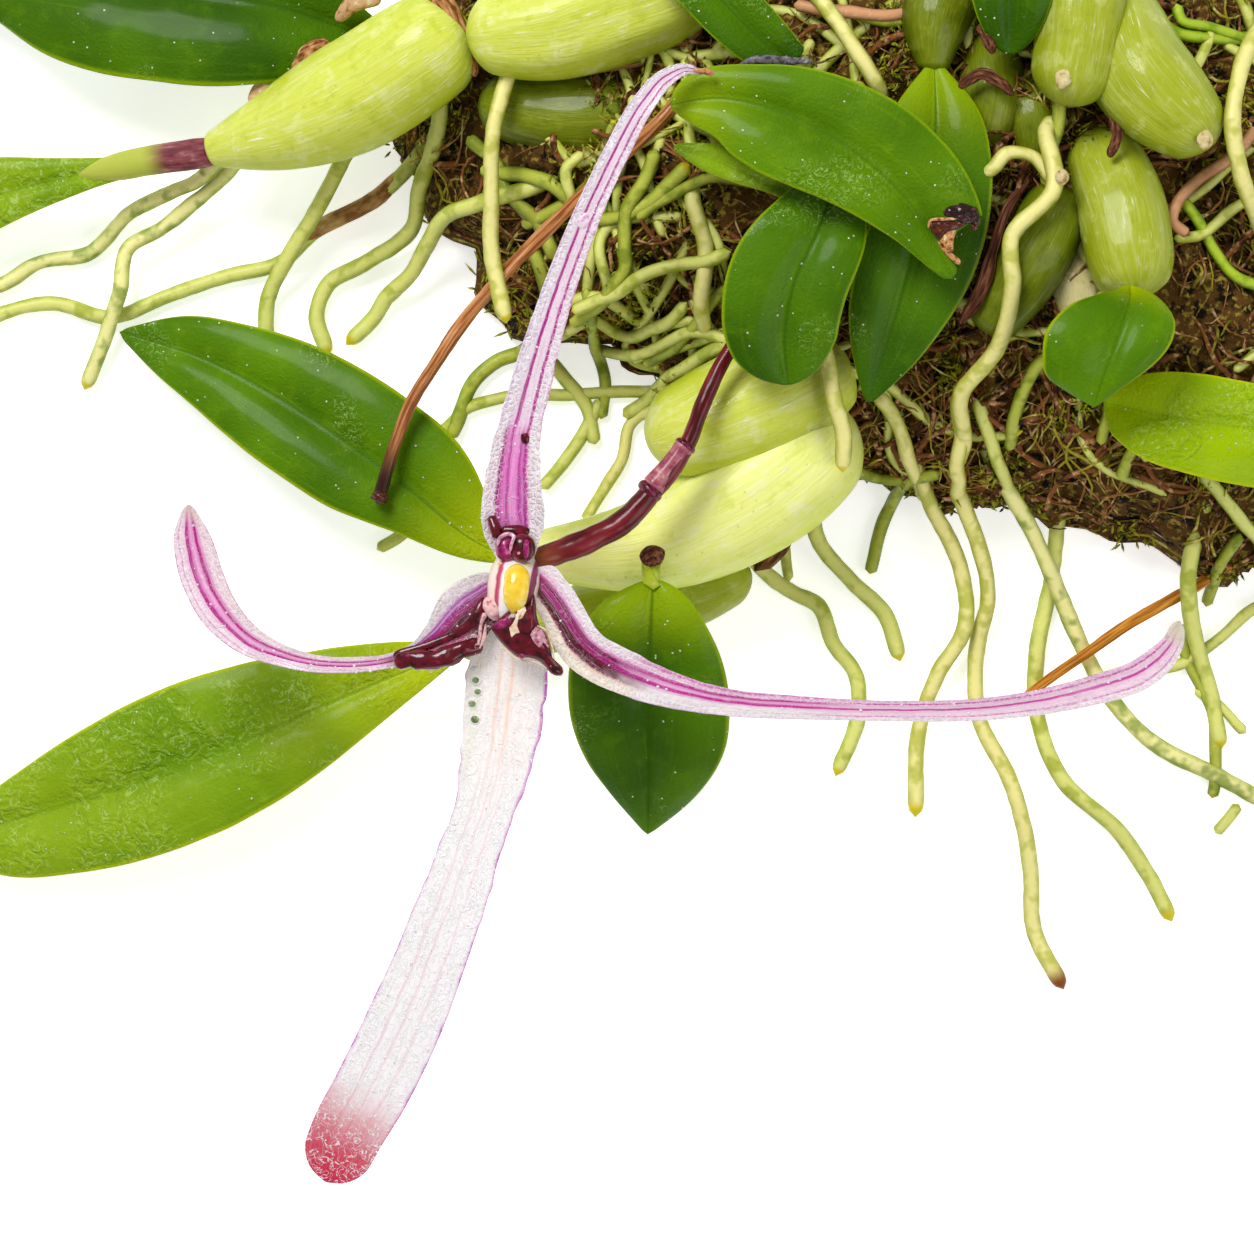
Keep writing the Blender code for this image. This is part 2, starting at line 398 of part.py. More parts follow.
def make_blade(spec, home):
    """Bend a flat grid along the path, then give it thickness."""
    along, across = spec.cells
    shape = bmesh.new()
    bmesh.ops.create_grid(shape, x_segments=along, y_segments=across, size=1.0)
    flat = np.array([vertex.co for vertex in shape.verts])
    s, t = (flat[:, 0] + 1) / 2, flat[:, 1]
    spine = smooth_rows(spec.path, 200)
    tangent, left, up = (at_share(table, s) for table in frames(spine))
    lean = math.radians(spec.roll)
    side = left * math.cos(lean) + up * math.sin(lean)
    lift = up * math.cos(lean) - left * math.sin(lean)
    half = np.where(t > 0, read_row(spec.left, s), read_row(spec.right, s))
    rise = spec.cup * half * t**2 + spec.wave * np.sin(9 * math.pi * s) * t**3
    move_vertices(shape, at_share(spine, s) + side * (half * t)[:, None] + lift * rise[:, None])
    bmesh.ops.triangulate(shape, faces=shape.faces)
    node = add_node(spec.name, spec.finish, mesh_from(shape, spec.name), home)
    body = node.modifiers.new("thickness", "SOLIDIFY")
    body.thickness = spec.thickness * MM
    body.offset = 0.0
    return node


def make_swelling(spec, home):
    """String the rings of a UV sphere along the path."""
    around, rings = spec.facets
    shape = bmesh.new()
    bmesh.ops.create_uvsphere(shape, u_segments=around, v_segments=rings, radius=1.0)
    ball = np.array([vertex.co for vertex in shape.verts])
    s = (1 - np.clip(ball[:, 2], -1, 1)) / 2
    turn = np.arctan2(ball[:, 1], ball[:, 0])
    off_axis = np.hypot(ball[:, 0], ball[:, 1]) > 1e-4
    spine = smooth_rows(spec.path, 120)
    tangent, left, up = (at_share(table, s) for table in frames(spine))
    radius = read_row(spec.radii, s) * (1 + spec.ribs * np.cos(5 * turn)) * off_axis
    points = (at_share(spine, s) + left * (radius * np.cos(turn))[:, None]
              + up * (spec.flat * radius * np.sin(turn))[:, None])
    move_vertices(shape, points)
    bmesh.ops.triangulate(shape, faces=shape.faces)
    return add_node(spec.name, spec.finish, mesh_from(shape, spec.name), home)


def make_strand(spec, home):
    """Sweep a round section along the path and round off its far end."""
    points = smooth_rows(spec.path, spec.points)
    thick = read_row(spec.radii, np.linspace(0, 1, spec.points))
    end = points[-1] + (points[-1] - points[-2]) / np.linalg.norm(points[-1] - points[-2]) * thick[-1] * 0.7
    points = np.vstack((points, end))
    thick = np.append(thick, thick[-1] * 0.55)
    curve = bpy.data.curves.new(spec.name, "CURVE")
    curve.dimensions = "3D"
    curve.bevel_depth = MM
    curve.bevel_resolution = (spec.sides - 4) // 2
    curve.use_fill_caps = True
    line = curve.splines.new("POLY")
    line.points.add(len(points) - 1)
    for knot, point, radius in zip(line.points, points, thick):
        knot.co = (*[value * MM for value in point], 1.0)
        knot.radius = radius
    rope = bpy.data.objects.new(spec.name + "_line", curve)
    home.objects.link(rope)
    swept = bpy.data.meshes.new_from_object(rope.evaluated_get(bpy.context.evaluated_depsgraph_get()))
    bpy.data.objects.remove(rope, do_unlink=True)
    shape = bmesh.new()
    shape.from_mesh(swept)
    bmesh.ops.remove_doubles(shape, verts=shape.verts, dist=1e-6)
    bmesh.ops.triangulate(shape, faces=shape.faces)
    return add_node(spec.name, spec.finish, mesh_from(shape, spec.name), home)


def mass_radius(turn):
    """Return the outline radius of the root mass at an angle, with its ragged edge."""
    degrees, radii = (np.array(row, float) for row in zip(*MASS_OUTLINE))
    edge = np.interp(np.degrees(turn) % 360, degrees, radii, period=360)
    return edge + 0.8 * np.sin(11 * turn + 1) + 0.6 * np.sin(19 * turn)


def mass_height(share):
    """Return the height of the dome at a share of the outline radius."""
    return MASS_HEIGHT * np.maximum(1 - share**2.2, 0) ** 0.6


def make_root_mass(home):
    """Shape the rings of a UV sphere into a lumpy dome on a flat underside."""
    around, rings = MASS_FACETS
    shape = bmesh.new()
    bmesh.ops.create_uvsphere(shape, u_segments=around, v_segments=rings, radius=1.0)
    ball = np.array([vertex.co for vertex in shape.verts])
    ring = np.rint(np.arccos(np.clip(ball[:, 2], -1, 1)) / math.pi * rings).astype(int)
    turn = np.arctan2(ball[:, 1], ball[:, 0])
    dome = np.sin(0.5 * math.pi * np.minimum(ring / DOME_RINGS, 1.0))
    share = np.where(ring <= DOME_RINGS, dome, 0.0)
    height = mass_height(dome) + 1.8
    for step, (rim_share, rim_height) in enumerate(RIM_RINGS, start=DOME_RINGS + 1):
        share = np.where(ring == step, rim_share, share)
        height = np.where(ring == step, rim_height, height)
    reach = mass_radius(turn) * share
    x, y = reach * np.cos(turn), reach * np.sin(turn)
    lumps = 0.9 * np.sin(0.32 * x + 1.0) * np.cos(0.27 * y) + 0.6 * np.sin(0.55 * y + 0.3 * x)
    height = height + np.where(ring < DOME_RINGS, lumps, 0.0)
    move_vertices(shape, np.stack((x, y, height), axis=1))
    bmesh.ops.triangulate(shape, faces=shape.faces)
    return add_node("root_mass", "fibre", mesh_from(shape, "root_mass"), home)


def settle(node):
    """Make the result of a node's modifiers its own mesh."""
    view = bpy.context.evaluated_depsgraph_get()
    made = bpy.data.meshes.new_from_object(node.evaluated_get(view))
    node.modifiers.clear()
    node.data = made


def swollen_copy(node, cutters):
    """Add a copy of a node, grown by the clearance, to the cutters."""
    name = node.name + "_cutter"
    if name in bpy.data.objects:
        return bpy.data.objects[name]
    grown = bpy.data.objects.new(name, node.data.copy())
    grown.hide_render = True
    grown.display_type = "WIRE"
    cutters.objects.link(grown)
    shell = grown.modifiers.new("clearance", "DISPLACE")
    shell.mid_level = 0.0
    shell.strength = GAP * MM
    return grown


def trim(node, others, cutters):
    """Cut the room of other nodes out of a node."""
    for other in others:
        cut = node.modifiers.new("room_for_" + other, "BOOLEAN")
        cut.operation = "DIFFERENCE"
        cut.solver = "EXACT"
        cut.object = swollen_copy(bpy.data.objects[other], cutters)
    settle(node)


def build():
    """Build every node of the plant."""
    clear_scene()
    home = new_collection(OBJECT_NAME, bpy.context.scene.collection)
    cutters = new_collection(OBJECT_NAME + "_cutters", bpy.context.scene.collection)
    makers = (
        (PSEUDOBULBS + FLOWER_LUMPS, make_swelling),
        (LEAVES + FLOWER_BLADES, make_blade),
        (STEMS + ROOTS, make_strand),
    )
    specs = []
    for group, maker in makers:
        for spec in group:
            maker(spec, home)
            specs.append(spec)
    mass = make_root_mass(home)
    bpy.context.view_layer.update()
    for spec in specs:
        settle(bpy.data.objects[spec.name])
    for spec in specs:
        if spec.trimmed_by:
            trim(bpy.data.objects[spec.name], spec.trimmed_by, cutters)
    trim(mass, MASS_TRIMMED_BY, cutters)


build()
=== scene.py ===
"""The dressed model of a bulbophyllum orchid lying on the flat underside of its root mass.

Lengths are in millimetres unless a name ends in _m. The plant spreads in the XY plane and the flower
faces +Z. A path is a row of (x, y, z) points that a smooth curve passes through, and a row of widths
or radii is read at even steps from the path's first point to its last.
"""
from __future__ import annotations

import itertools
import logging
import math
from dataclasses import dataclass, field
from enum import Enum

import bpy
import numpy as np
from numpy.typing import NDArray
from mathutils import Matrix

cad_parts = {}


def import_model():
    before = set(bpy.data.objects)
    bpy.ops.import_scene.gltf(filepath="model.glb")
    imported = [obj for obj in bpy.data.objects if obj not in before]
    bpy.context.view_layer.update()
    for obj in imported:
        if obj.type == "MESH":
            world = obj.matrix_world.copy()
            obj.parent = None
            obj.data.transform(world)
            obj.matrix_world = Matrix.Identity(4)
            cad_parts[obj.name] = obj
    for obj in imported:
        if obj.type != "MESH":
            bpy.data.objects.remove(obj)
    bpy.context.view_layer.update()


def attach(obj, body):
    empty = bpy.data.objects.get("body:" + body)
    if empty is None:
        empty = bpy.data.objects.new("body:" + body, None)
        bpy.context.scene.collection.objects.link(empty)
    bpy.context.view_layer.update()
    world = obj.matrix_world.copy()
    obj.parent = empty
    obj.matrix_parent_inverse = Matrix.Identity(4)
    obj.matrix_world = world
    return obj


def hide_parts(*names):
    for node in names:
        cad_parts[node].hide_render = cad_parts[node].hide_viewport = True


Array = NDArray[np.float64]
Rows = tuple[tuple[float, ...], ...]
Row = tuple[float, ...]
Stops = tuple[tuple[float, str], ...]

LOG = logging.getLogger("orchid")
MM = 0.001
UP = np.array((0.0, 0.0, 1.0))
LATTICE_START = 57.0
LATTICE_PRIMES = (73856093, 19349663, 83492791, 2654435761)
LATTICE_MIX = 1274126177


# ---- curves and rows

def smooth_rows(rows: Rows | Array, count: int) -> Array:
    """Pass a smooth curve through rows and read it at even steps.

    Between two rows the curve is the cubic that has the rows' own values and slopes at its ends.

    Args:
        rows: The points the curve passes through.
        count: How many points to return.

    Returns:
        An array of count points.
    """
    rows = np.array(rows, float)
    at = np.concatenate(([0.0], np.cumsum(np.linalg.norm(np.diff(rows, axis=0), axis=1))))
    slope = np.gradient(rows, at, axis=0)
    where = np.linspace(0.0, at[-1], count)
    i = np.clip(np.searchsorted(at, where, side="right") - 1, 0, len(at) - 2)
    span = (at[i + 1] - at[i])[:, None]
    x = (where - at[i])[:, None] / span
    return ((2 * x**3 - 3 * x**2 + 1) * rows[i] + (x**3 - 2 * x**2 + x) * span * slope[i]
            + (3 * x**2 - 2 * x**3) * rows[i + 1] + (x**3 - x**2) * span * slope[i + 1])


def read_row(values: Row | Array, s: Array) -> Array:
    """Read an even row of values with the same cubic as smooth_rows.

    Args:
        values: The row.
        s: Shares of its length, 0 to 1.

    Returns:
        The row's values at s.
    """
    values = np.array(values, float)
    slope = np.gradient(values)
    where = np.clip(s, 0.0, 1.0) * (len(values) - 1)
    i = np.clip(where.astype(int), 0, len(values) - 2)
    x = where - i
    return ((2 * x**3 - 3 * x**2 + 1) * values[i] + (x**3 - 2 * x**2 + x) * slope[i]
            + (3 * x**2 - 2 * x**3) * values[i + 1] + (x**3 - x**2) * slope[i + 1])


def at_share(table: Array, s: Array) -> Array:
    """Read the rows of a table, in a straight line between rows.

    Args:
        table: The rows.
        s: Shares of the table, 0 to 1.

    Returns:
        The rows at s.
    """
    where = np.clip(s, 0.0, 1.0) * (len(table) - 1)
    i = np.clip(where.astype(int), 0, len(table) - 2)
    x = (where - i)[..., None]
    return (1 - x) * table[i] + x * table[i + 1]


def unit(vectors: Array) -> Array:
    """Scale vectors to length one."""
    return vectors / np.maximum(np.linalg.norm(vectors, axis=-1, keepdims=True), 1e-12)


def frames(points: Array, up: Array = UP) -> tuple[Array, Array]:
    """Find the directions across a path.

    Args:
        points: Points along the path, on the last but one axis.
        up: The direction the path's upper side leans towards.

    Returns:
        The unit directions to the left of travel and upwards from the path, at each point.
    """
    tangent = unit(np.gradient(points, axis=-2))
    left = unit(np.cross(up, tangent))
    return left, np.cross(tangent, left)


def noise(points: Array, size: float, seed: int) -> Array:
    """Work out smooth random values.

    Each corner of a lattice gets a number from its whole-number place, and a point takes the smoothly
    weighted mean of the eight corners round it.

    Args:
        points: Where to read them.
        size: How far across their lumps are.
        seed: Which of the random fields to read.

    Returns:
        Values from -1 to 1, one for each point.
    """
    place = points / size + LATTICE_START
    cell = np.floor(place).astype(np.int64)
    part = place - cell
    part = part * part * (3 - 2 * part)
    total = np.zeros(points.shape[:-1])
    for corner in itertools.product((0, 1), repeat=3):
        parts = (*np.moveaxis(cell + corner, -1, 0), seed)
        x, y, z, own = (value * prime for value, prime in zip(parts, LATTICE_PRIMES))
        mixed = x ^ y ^ z ^ own
        mixed = ((mixed ^ (mixed >> 13)) * LATTICE_MIX) & 0xFFFFFFFF
        value = ((mixed ^ (mixed >> 16)) & 0xFFFF) / 32767.5 - 1.0
        total += value * np.prod(np.where(np.array(corner) == 1, part, 1 - part), axis=-1)
    return total


def ease(low: float, high: float, x: Array) -> Array:
    """Rise smoothly from 0 at low to 1 at high."""
    x = np.clip((x - low) / (high - low), 0.0, 1.0)
    return x * x * (3 - 2 * x)


# ---- meshes

@dataclass
class Skin:
    """Closed tubular skins that go into one mesh.

    A skin is a stack of rings: a grid whose first parameter runs along it and whose second runs round
    it. Each end is closed by a fan to the middle of its last ring.
    """

    points: list[Array] = field(default_factory=list)
    loops: list[Array] = field(default_factory=list)
    sizes: list[Array] = field(default_factory=list)
    coords: list[Array] = field(default_factory=list)
    count: int = 0

    def add(self, rings: Array, uv: Array | None = None) -> Skin:
        """Add one skin, or many of the same grid.

        Args:
            rings: Points of shape (along, round, 3), or (skins, along, round, 3).
            uv: Texture places of shape (along, round + 1, 2); by default the shares along and round.

        Returns:
            These skins.
        """
        rings = rings if rings.ndim == 4 else rings[None]
        skins, along, around, _ = rings.shape
        if uv is None:
            share = np.linspace(0, 1, along)[:, None], np.linspace(0, 1, around + 1)[None, :]
            uv = np.stack(np.broadcast_arrays(*share), axis=-1)
        i, j = (grid.ravel() for grid in np.meshgrid(np.arange(along - 1), np.arange(around), indexing="ij"))
        k = (j + 1) % around
        quads = np.stack((i * around + j, i * around + k, (i + 1) * around + k, (i + 1) * around + j), axis=1)
        places = np.stack((uv[i, j], uv[i, j + 1], uv[i + 1, j + 1], uv[i + 1, j]), axis=1)
        j = np.arange(around)
        k, last, start, end = (j + 1) % around, (along - 1) * around, along * around, along * around + 1
        fans = np.concatenate((np.stack((np.full(around, start), k, j), axis=1),
                               np.stack((np.full(around, end), last + j, last + k), axis=1)))
        mid = uv.mean(axis=1)
        fan_places = np.concatenate((
            np.stack((np.broadcast_to(mid[0], (around, 2)), uv[0, j + 1], uv[0, j]), axis=1),
            np.stack((np.broadcast_to(mid[-1], (around, 2)), uv[-1, j], uv[-1, j + 1]), axis=1)))
        middles = np.stack((rings[:, 0].mean(axis=1), rings[:, -1].mean(axis=1)), axis=1)
        points = np.concatenate((rings.reshape(skins, -1, 3), middles), axis=1)
        if signed_volume(points[0], quads, fans) < 0:
            quads, places = quads[:, ::-1], places[:, ::-1]
            fans, fan_places = fans[:, ::-1], fan_places[:, ::-1]
        loops = np.concatenate((quads.ravel(), fans.ravel()))
        shift = self.count + np.arange(skins)[:, None] * points.shape[1]
        self.points.append(points.reshape(-1, 3))
        self.loops.append((loops[None] + shift).ravel())
        self.sizes.append(np.tile(np.concatenate((np.full(len(quads), 4), np.full(len(fans), 3))), skins))
        flat = np.concatenate((places.reshape(-1, 2), fan_places.reshape(-1, 2)))
        self.coords.append(np.tile(flat, (skins, 1)))
        self.count += skins * points.shape[1]
        return self

    def finish(self, name: str, finish: bpy.types.Material) -> bpy.types.Object:
        """Make the object of these skins, ride it on the plant and dress it.

        Args:
            name: The piece's name.
            finish: Its material.

        Returns:
            The new object, at the origin, with its place in its mesh.
        """
        points, loops, sizes = (np.concatenate(part) for part in (self.points, self.loops, self.sizes))
        mesh = bpy.data.meshes.new(name)
        mesh.vertices.add(len(points))
        mesh.vertices.foreach_set("co", (points * MM).ravel())
        mesh.loops.add(len(loops))
        mesh.loops.foreach_set("vertex_index", loops.astype(np.int32))
        mesh.polygons.add(len(sizes))
        mesh.polygons.foreach_set("loop_start", (np.cumsum(sizes) - sizes).astype(np.int32))
        mesh.polygons.foreach_set("use_smooth", np.ones(len(sizes), dtype=bool))
        mesh.uv_layers.new(name="UVMap").uv.foreach_set("vector", np.concatenate(self.coords).ravel())
        mesh.update(calc_edges=True)
        mesh.validate()
        mesh.materials.append(finish)
        piece = bpy.data.objects.new(name, mesh)
        bpy.context.scene.collection.objects.link(piece)
        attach(piece, "root")
        LOG.info("%s: %d faces", name, len(sizes))
        return piece


def signed_volume(points: Array, quads: Array, fans: Array) -> float:
    """Measure the volume a skin closes.

    Args:
        points: The skin's points.
        quads: Its faces of four corners.
        fans: Its faces of three corners.

    Returns:
        Six times the volume, negative where the faces point inwards.
    """
    tris = np.concatenate((quads[:, :3], quads[:, [0, 2, 3]], fans))
    a, b, c = (points[tris[:, n]] for n in range(3))
    return float(np.einsum("ij,ij->i", a, np.cross(b, c)).sum())


def tube(path: Array, radius: Array, around: int, flat: float = 1.0, up: Array = UP) -> Array:
    """Carry a round section along a path.

    A point is the path's own point plus the radius times (cosine of the turn to the left and sine of
    the turn upwards, times flat). The turn starts underneath, so that the seam is out of sight.

    Args:
        path: Points of shape (..., along, 3).
        radius: Radii that broadcast to (..., along, around).
        around: Points round the section.
        flat: Height of the section over its width.
        up: The direction the upper side leans towards.

    Returns:
        Rings of shape (..., along, around, 3).
    """
    left, lift = frames(path, up)
    turn = np.arange(around) / around * 2 * math.pi - math.pi / 2
    across = left[..., None, :] * np.cos(turn)[:, None] + lift[..., None, :] * (flat * np.sin(turn))[:, None]
    return path[..., None, :] + across * np.broadcast_to(radius, across.shape[:-1])[..., None]


def share_of_ends(count: int) -> Array:
    """Shares from 0 to 1 that lie closer together towards both ends, as the cosine of even angles does."""
    return (1 - np.cos(np.linspace(0, math.pi, count))) / 2


def sheet_round(around: int) -> tuple[Array, Array]:
    """Go round a sheet's section: t from 1 at the left edge to -1 at the right and back, and the side.

    The side is 1 on the way there, over the face, and -1 on the way back, underneath.
    """
    turn = np.arange(around) / around * 2 * math.pi
    return np.cos(turn)[None, :], np.sign(np.sin(turn) + 1e-9)[None, :]


def half_width(left: Row, right: Row, s: Array, t: Array) -> Array:
    """Read a sheet's half width at its shares s: the left row's where t is positive, else the right one's."""
    return np.where(t > 0, read_row(left, s)[:, None], read_row(right or left, s)[:, None])


def spread(spine: Array, left: Array, lift: Array, side: Array, rise: Array) -> Array:
    """Set points beside a path: side along its leftward direction and rise along its upward one."""
    return spine[:, None, :] + left[:, None, :] * side[..., None] + lift[:, None, :] * rise[..., None]


def sheet_skin(rings: Array) -> Skin:
    """Wrap a sheet with a texture place of (share along, share across).

    Args:
        rings: The sheet's rings.

    Returns:
        Its skin.
    """
    along, around, _ = rings.shape
    t = np.cos(np.arange(around + 1) / around * 2 * math.pi)
    uv = np.stack(np.broadcast_arrays(np.linspace(0, 1, along)[:, None], (t[None, :] + 1) / 2), axis=-1)
    return Skin().add(rings, uv)


# ---- materials

def linear(code: str) -> tuple[float, float, float, float]:
    """Turn an sRGB hex code into a linear colour."""
    part = [int(code[n:n + 2], 16) / 255 for n in (1, 3, 5)]
    return (*[p / 12.92 if p <= 0.04045 else ((p + 0.055) / 1.055) ** 2.4 for p in part], 1.0)


class Do(Enum):
    """What a node does: its type and the settings that go with it."""

    PLACES = ("TexCoord", {})
    SPLIT = ("SeparateXYZ", {})
    JOIN = ("CombineXYZ", {})
    NOISE = ("TexNoise", {})
    CELLS = ("TexVoronoi", {})
    WALLS = ("TexVoronoi", {"feature": "DISTANCE_TO_EDGE"})
    RAMP = ("ValToRGB", {})
    BLEND = ("Mix", {"data_type": "RGBA"})
    STEP = ("MapRange", {"interpolation_type": "SMOOTHSTEP"})
    BUMP = ("Bump", {})
    ADD = ("Math", {"operation": "ADD"})
    SUBTRACT = ("Math", {"operation": "SUBTRACT"})
    MULTIPLY = ("Math", {"operation": "MULTIPLY"})
    MULTIPLY_ADD = ("Math", {"operation": "MULTIPLY_ADD"})
    ABSOLUTE = ("Math", {"operation": "ABSOLUTE"})
    MAXIMUM = ("Math", {"operation": "MAXIMUM"})


class Graph:
    """A material and the nodes it is made of."""

    def __init__(self, name: str) -> None:
        """Start a material with only its shader and its output."""
        self.material = bpy.data.materials.new(name)
        self.material.use_nodes = True
        self.tree = self.material.node_tree
        self.shader = self.tree.nodes["Principled BSDF"]

    def add(self, work: Do, *values: object, stops: Stops = (), **named: object) -> bpy.types.Node:
        """Add a node with its settings and links.

        Args:
            work: What the node does.
            values: Numbers, hex colours, nodes or sockets for the node's live inputs, in their order.
            stops: Places and hex colours of a colour ramp.
            named: The same as values, for inputs by name.

        Returns:
            The new node.
        """
        kind, settings = work.value
        made = self.tree.nodes.new("ShaderNode" + kind)
        for key, value in settings.items():
            setattr(made, key, value)
        if stops:
            ramp = made.color_ramp
            while len(ramp.elements) < len(stops):
                ramp.elements.new(0.5)
            for element, (place, code) in zip(ramp.elements, sorted(stops)):
                element.position, element.color = place, linear(code)
        for socket, value in zip([socket for socket in made.inputs if socket.enabled], values):
            self.put(socket, value)
        for key, value in named.items():
            self.put(made.inputs[key], value)
        return made

    def put(self, socket: bpy.types.NodeSocket, value: object) -> None:
        """Set one input, or link it.

        Args:
            socket: The input.
            value: A number or hex colour, a socket, or a node whose first live output is meant.
        """
        if isinstance(value, bpy.types.Node):
            value = next(output for output in value.outputs if output.enabled)
        if isinstance(value, bpy.types.NodeSocket):
            self.tree.links.new(value, socket)
        else:
            socket.default_value = linear(value) if isinstance(value, str) else value

    def places(self) -> tuple[bpy.types.NodeSocket, ...]:
        """Read where a point of the piece is.

        Returns:
            Its Object place, and its shares u along the piece and v across or round it.
        """
        place = self.add(Do.PLACES)
        u, v, _ = self.add(Do.SPLIT, place.outputs["UV"]).outputs
        return place.outputs["Object"], u, v

    def layers(self, colour: object, *coats: tuple[object, float, object]) -> object:
        """Lay tints over a colour in turn.

        Args:
            colour: The ground.
            coats: For each tint its mask, the share of the mask that it gets, and the tint.

        Returns:
            The covered colour.
        """
        for mask, share, tint in coats:
            factor = mask if share == 1 else self.add(Do.MULTIPLY, mask, share)
            colour = self.add(Do.BLEND, factor, colour, tint)
        return colour

    def dress(self, colour: object, relief: tuple[object, float, float] | None = None,
              **inputs: object) -> bpy.types.Material:
        """Set the shader's inputs.

        Args:
            colour: The base colour.
            relief: The height of the bump, its strength and its depth in metres.
            inputs: The shader's other inputs, with underscores for spaces.

        Returns:
            The finished material.
        """
        self.put(self.shader.inputs["Base Color"], colour)
        if relief:
            height, strength, depth = relief
            bump = self.add(Do.BUMP, Height=height, Strength=strength, Distance=depth)
            self.put(self.shader.inputs["Normal"], bump)
        for key, value in inputs.items():
            self.put(self.shader.inputs[key.replace("_", " ")], value)
        return self.material


def scale(size: float) -> float:
    """Turn a pattern's real size in millimetres into a texture's scale on Object coordinates."""
    return 1 / (size * MM)


def grain(size: float, detail: float = 3.0, roughness: float = 0.55) -> tuple[float, float, float]:
    """Scale, detail and roughness of a noise whose lumps are this many millimetres across."""
    return scale(size), detail, roughness


class LeafTone(Enum):
    """Greens of a leaf, from old to young: its shade, its body, its lighter patches and its base."""

    DEEP = ("#325A00", "#4E7A02", "#6E9A0A", "#90AC04")
    MIDDLE = ("#457000", "#5E8C02", "#86AE10", "#A8BA04")
    MATURE = ("#4A7400", "#628E04", "#8AB014", "#8CAA06")
    FRESH = ("#6E960A", "#8EAE18", "#B0C83C", "#B8C60C")
    YOUNG = ("#8CB002", "#A6C402", "#BCD41C", "#C4D008")


@dataclass(frozen=True)
class LeafFinish:
    """Fresh orchid leaf: thick waxy skin over green flesh. Smooth, glossy and finely wrinkled, with
    painted highlights on the wrinkle crests, painted shade along the sunken midrib, a thin yellow-green
    margin and small specks of dust and dew."""

    tone: LeafTone

    def dress(self) -> bpy.types.Material:
        """Build the material: a net of wrinkles lies in patches, with painted highlights on its crests,
        and fine lines run the leaf's length.

        Returns:
            The material.
        """
        shade, body, light, base = self.tone.value
        wrinkle, spread = (1.7, 0.4) if self.tone is LeafTone.FRESH else (1.2, 0.56)
        g = Graph("waxy_leaf_" + self.tone.name.lower())
        here, u, v = g.places()
        off = g.add(Do.ABSOLUTE, g.add(Do.MULTIPLY_ADD, v, 2.0, -1.0))
        mottle = g.add(Do.NOISE, here, *grain(3.0, 4.0))
        wrinkles = g.add(Do.NOISE, here, scale(wrinkle), 1.0, Distortion=1.2)
        patch = g.add(Do.STEP, g.add(Do.NOISE, here, *grain(14.0, 1.0)), spread, spread + 0.12)
        # Painted highlight: the wrinkle crests in the patches are painted pale green, as glints.
        line = g.add(Do.STEP, g.add(Do.ABSOLUTE, g.add(Do.SUBTRACT, wrinkles, 0.5)), 0.03, 0.008)
        lengthwise = g.add(Do.JOIN, g.add(Do.MULTIPLY, u, 4.0), g.add(Do.MULTIPLY, v, 30.0))
        lines = g.add(Do.NOISE, lengthwise, 1.0, 2.0)
        speck = g.add(Do.STEP, g.add(Do.CELLS, here, scale(1.7)).outputs["Distance"], 0.12, 0.07)
        dusty = g.add(Do.STEP, g.add(Do.NOISE, here, *grain(6.0, 2.0)), 0.42, 0.54)
        specks = g.add(Do.MULTIPLY, speck, dusty)
        colour = g.layers(
            g.add(Do.BLEND, g.add(Do.STEP, g.add(Do.NOISE, here, *grain(16.0, 1.5)), 0.3, 0.7), shade, body),
            (g.add(Do.STEP, mottle, 0.5, 0.75), 0.2, light),
            (g.add(Do.MULTIPLY, line, patch), 0.3, "#D4F098"),
            (g.add(Do.STEP, lines, 0.55, 0.8), 0.25, light),
            (g.add(Do.STEP, u, 0.32, 0.0), 1, base),
            # Painted shade: a darker band in the shade colour along the sunken midrib groove.
            (g.add(Do.STEP, off, 0.06, 0.0), 0.6, shade),
            (g.add(Do.STEP, off, 0.93, 0.99), 0.8, base),
            (specks, 0.85, "#EAF4D8"))
        skin = g.add(Do.MULTIPLY_ADD, g.add(Do.MULTIPLY, wrinkles, patch), 1.4, specks)
        skin = g.add(Do.ADD, g.add(Do.MULTIPLY, g.add(Do.NOISE, here, *grain(0.45, 2.0)), 0.5), skin)
        return g.dress(colour, (skin, 0.75, 0.0006), Roughness=0.42, Specular_IOR_Level=0.06,
                       Coat_Weight=0.09, Coat_Roughness=0.14)


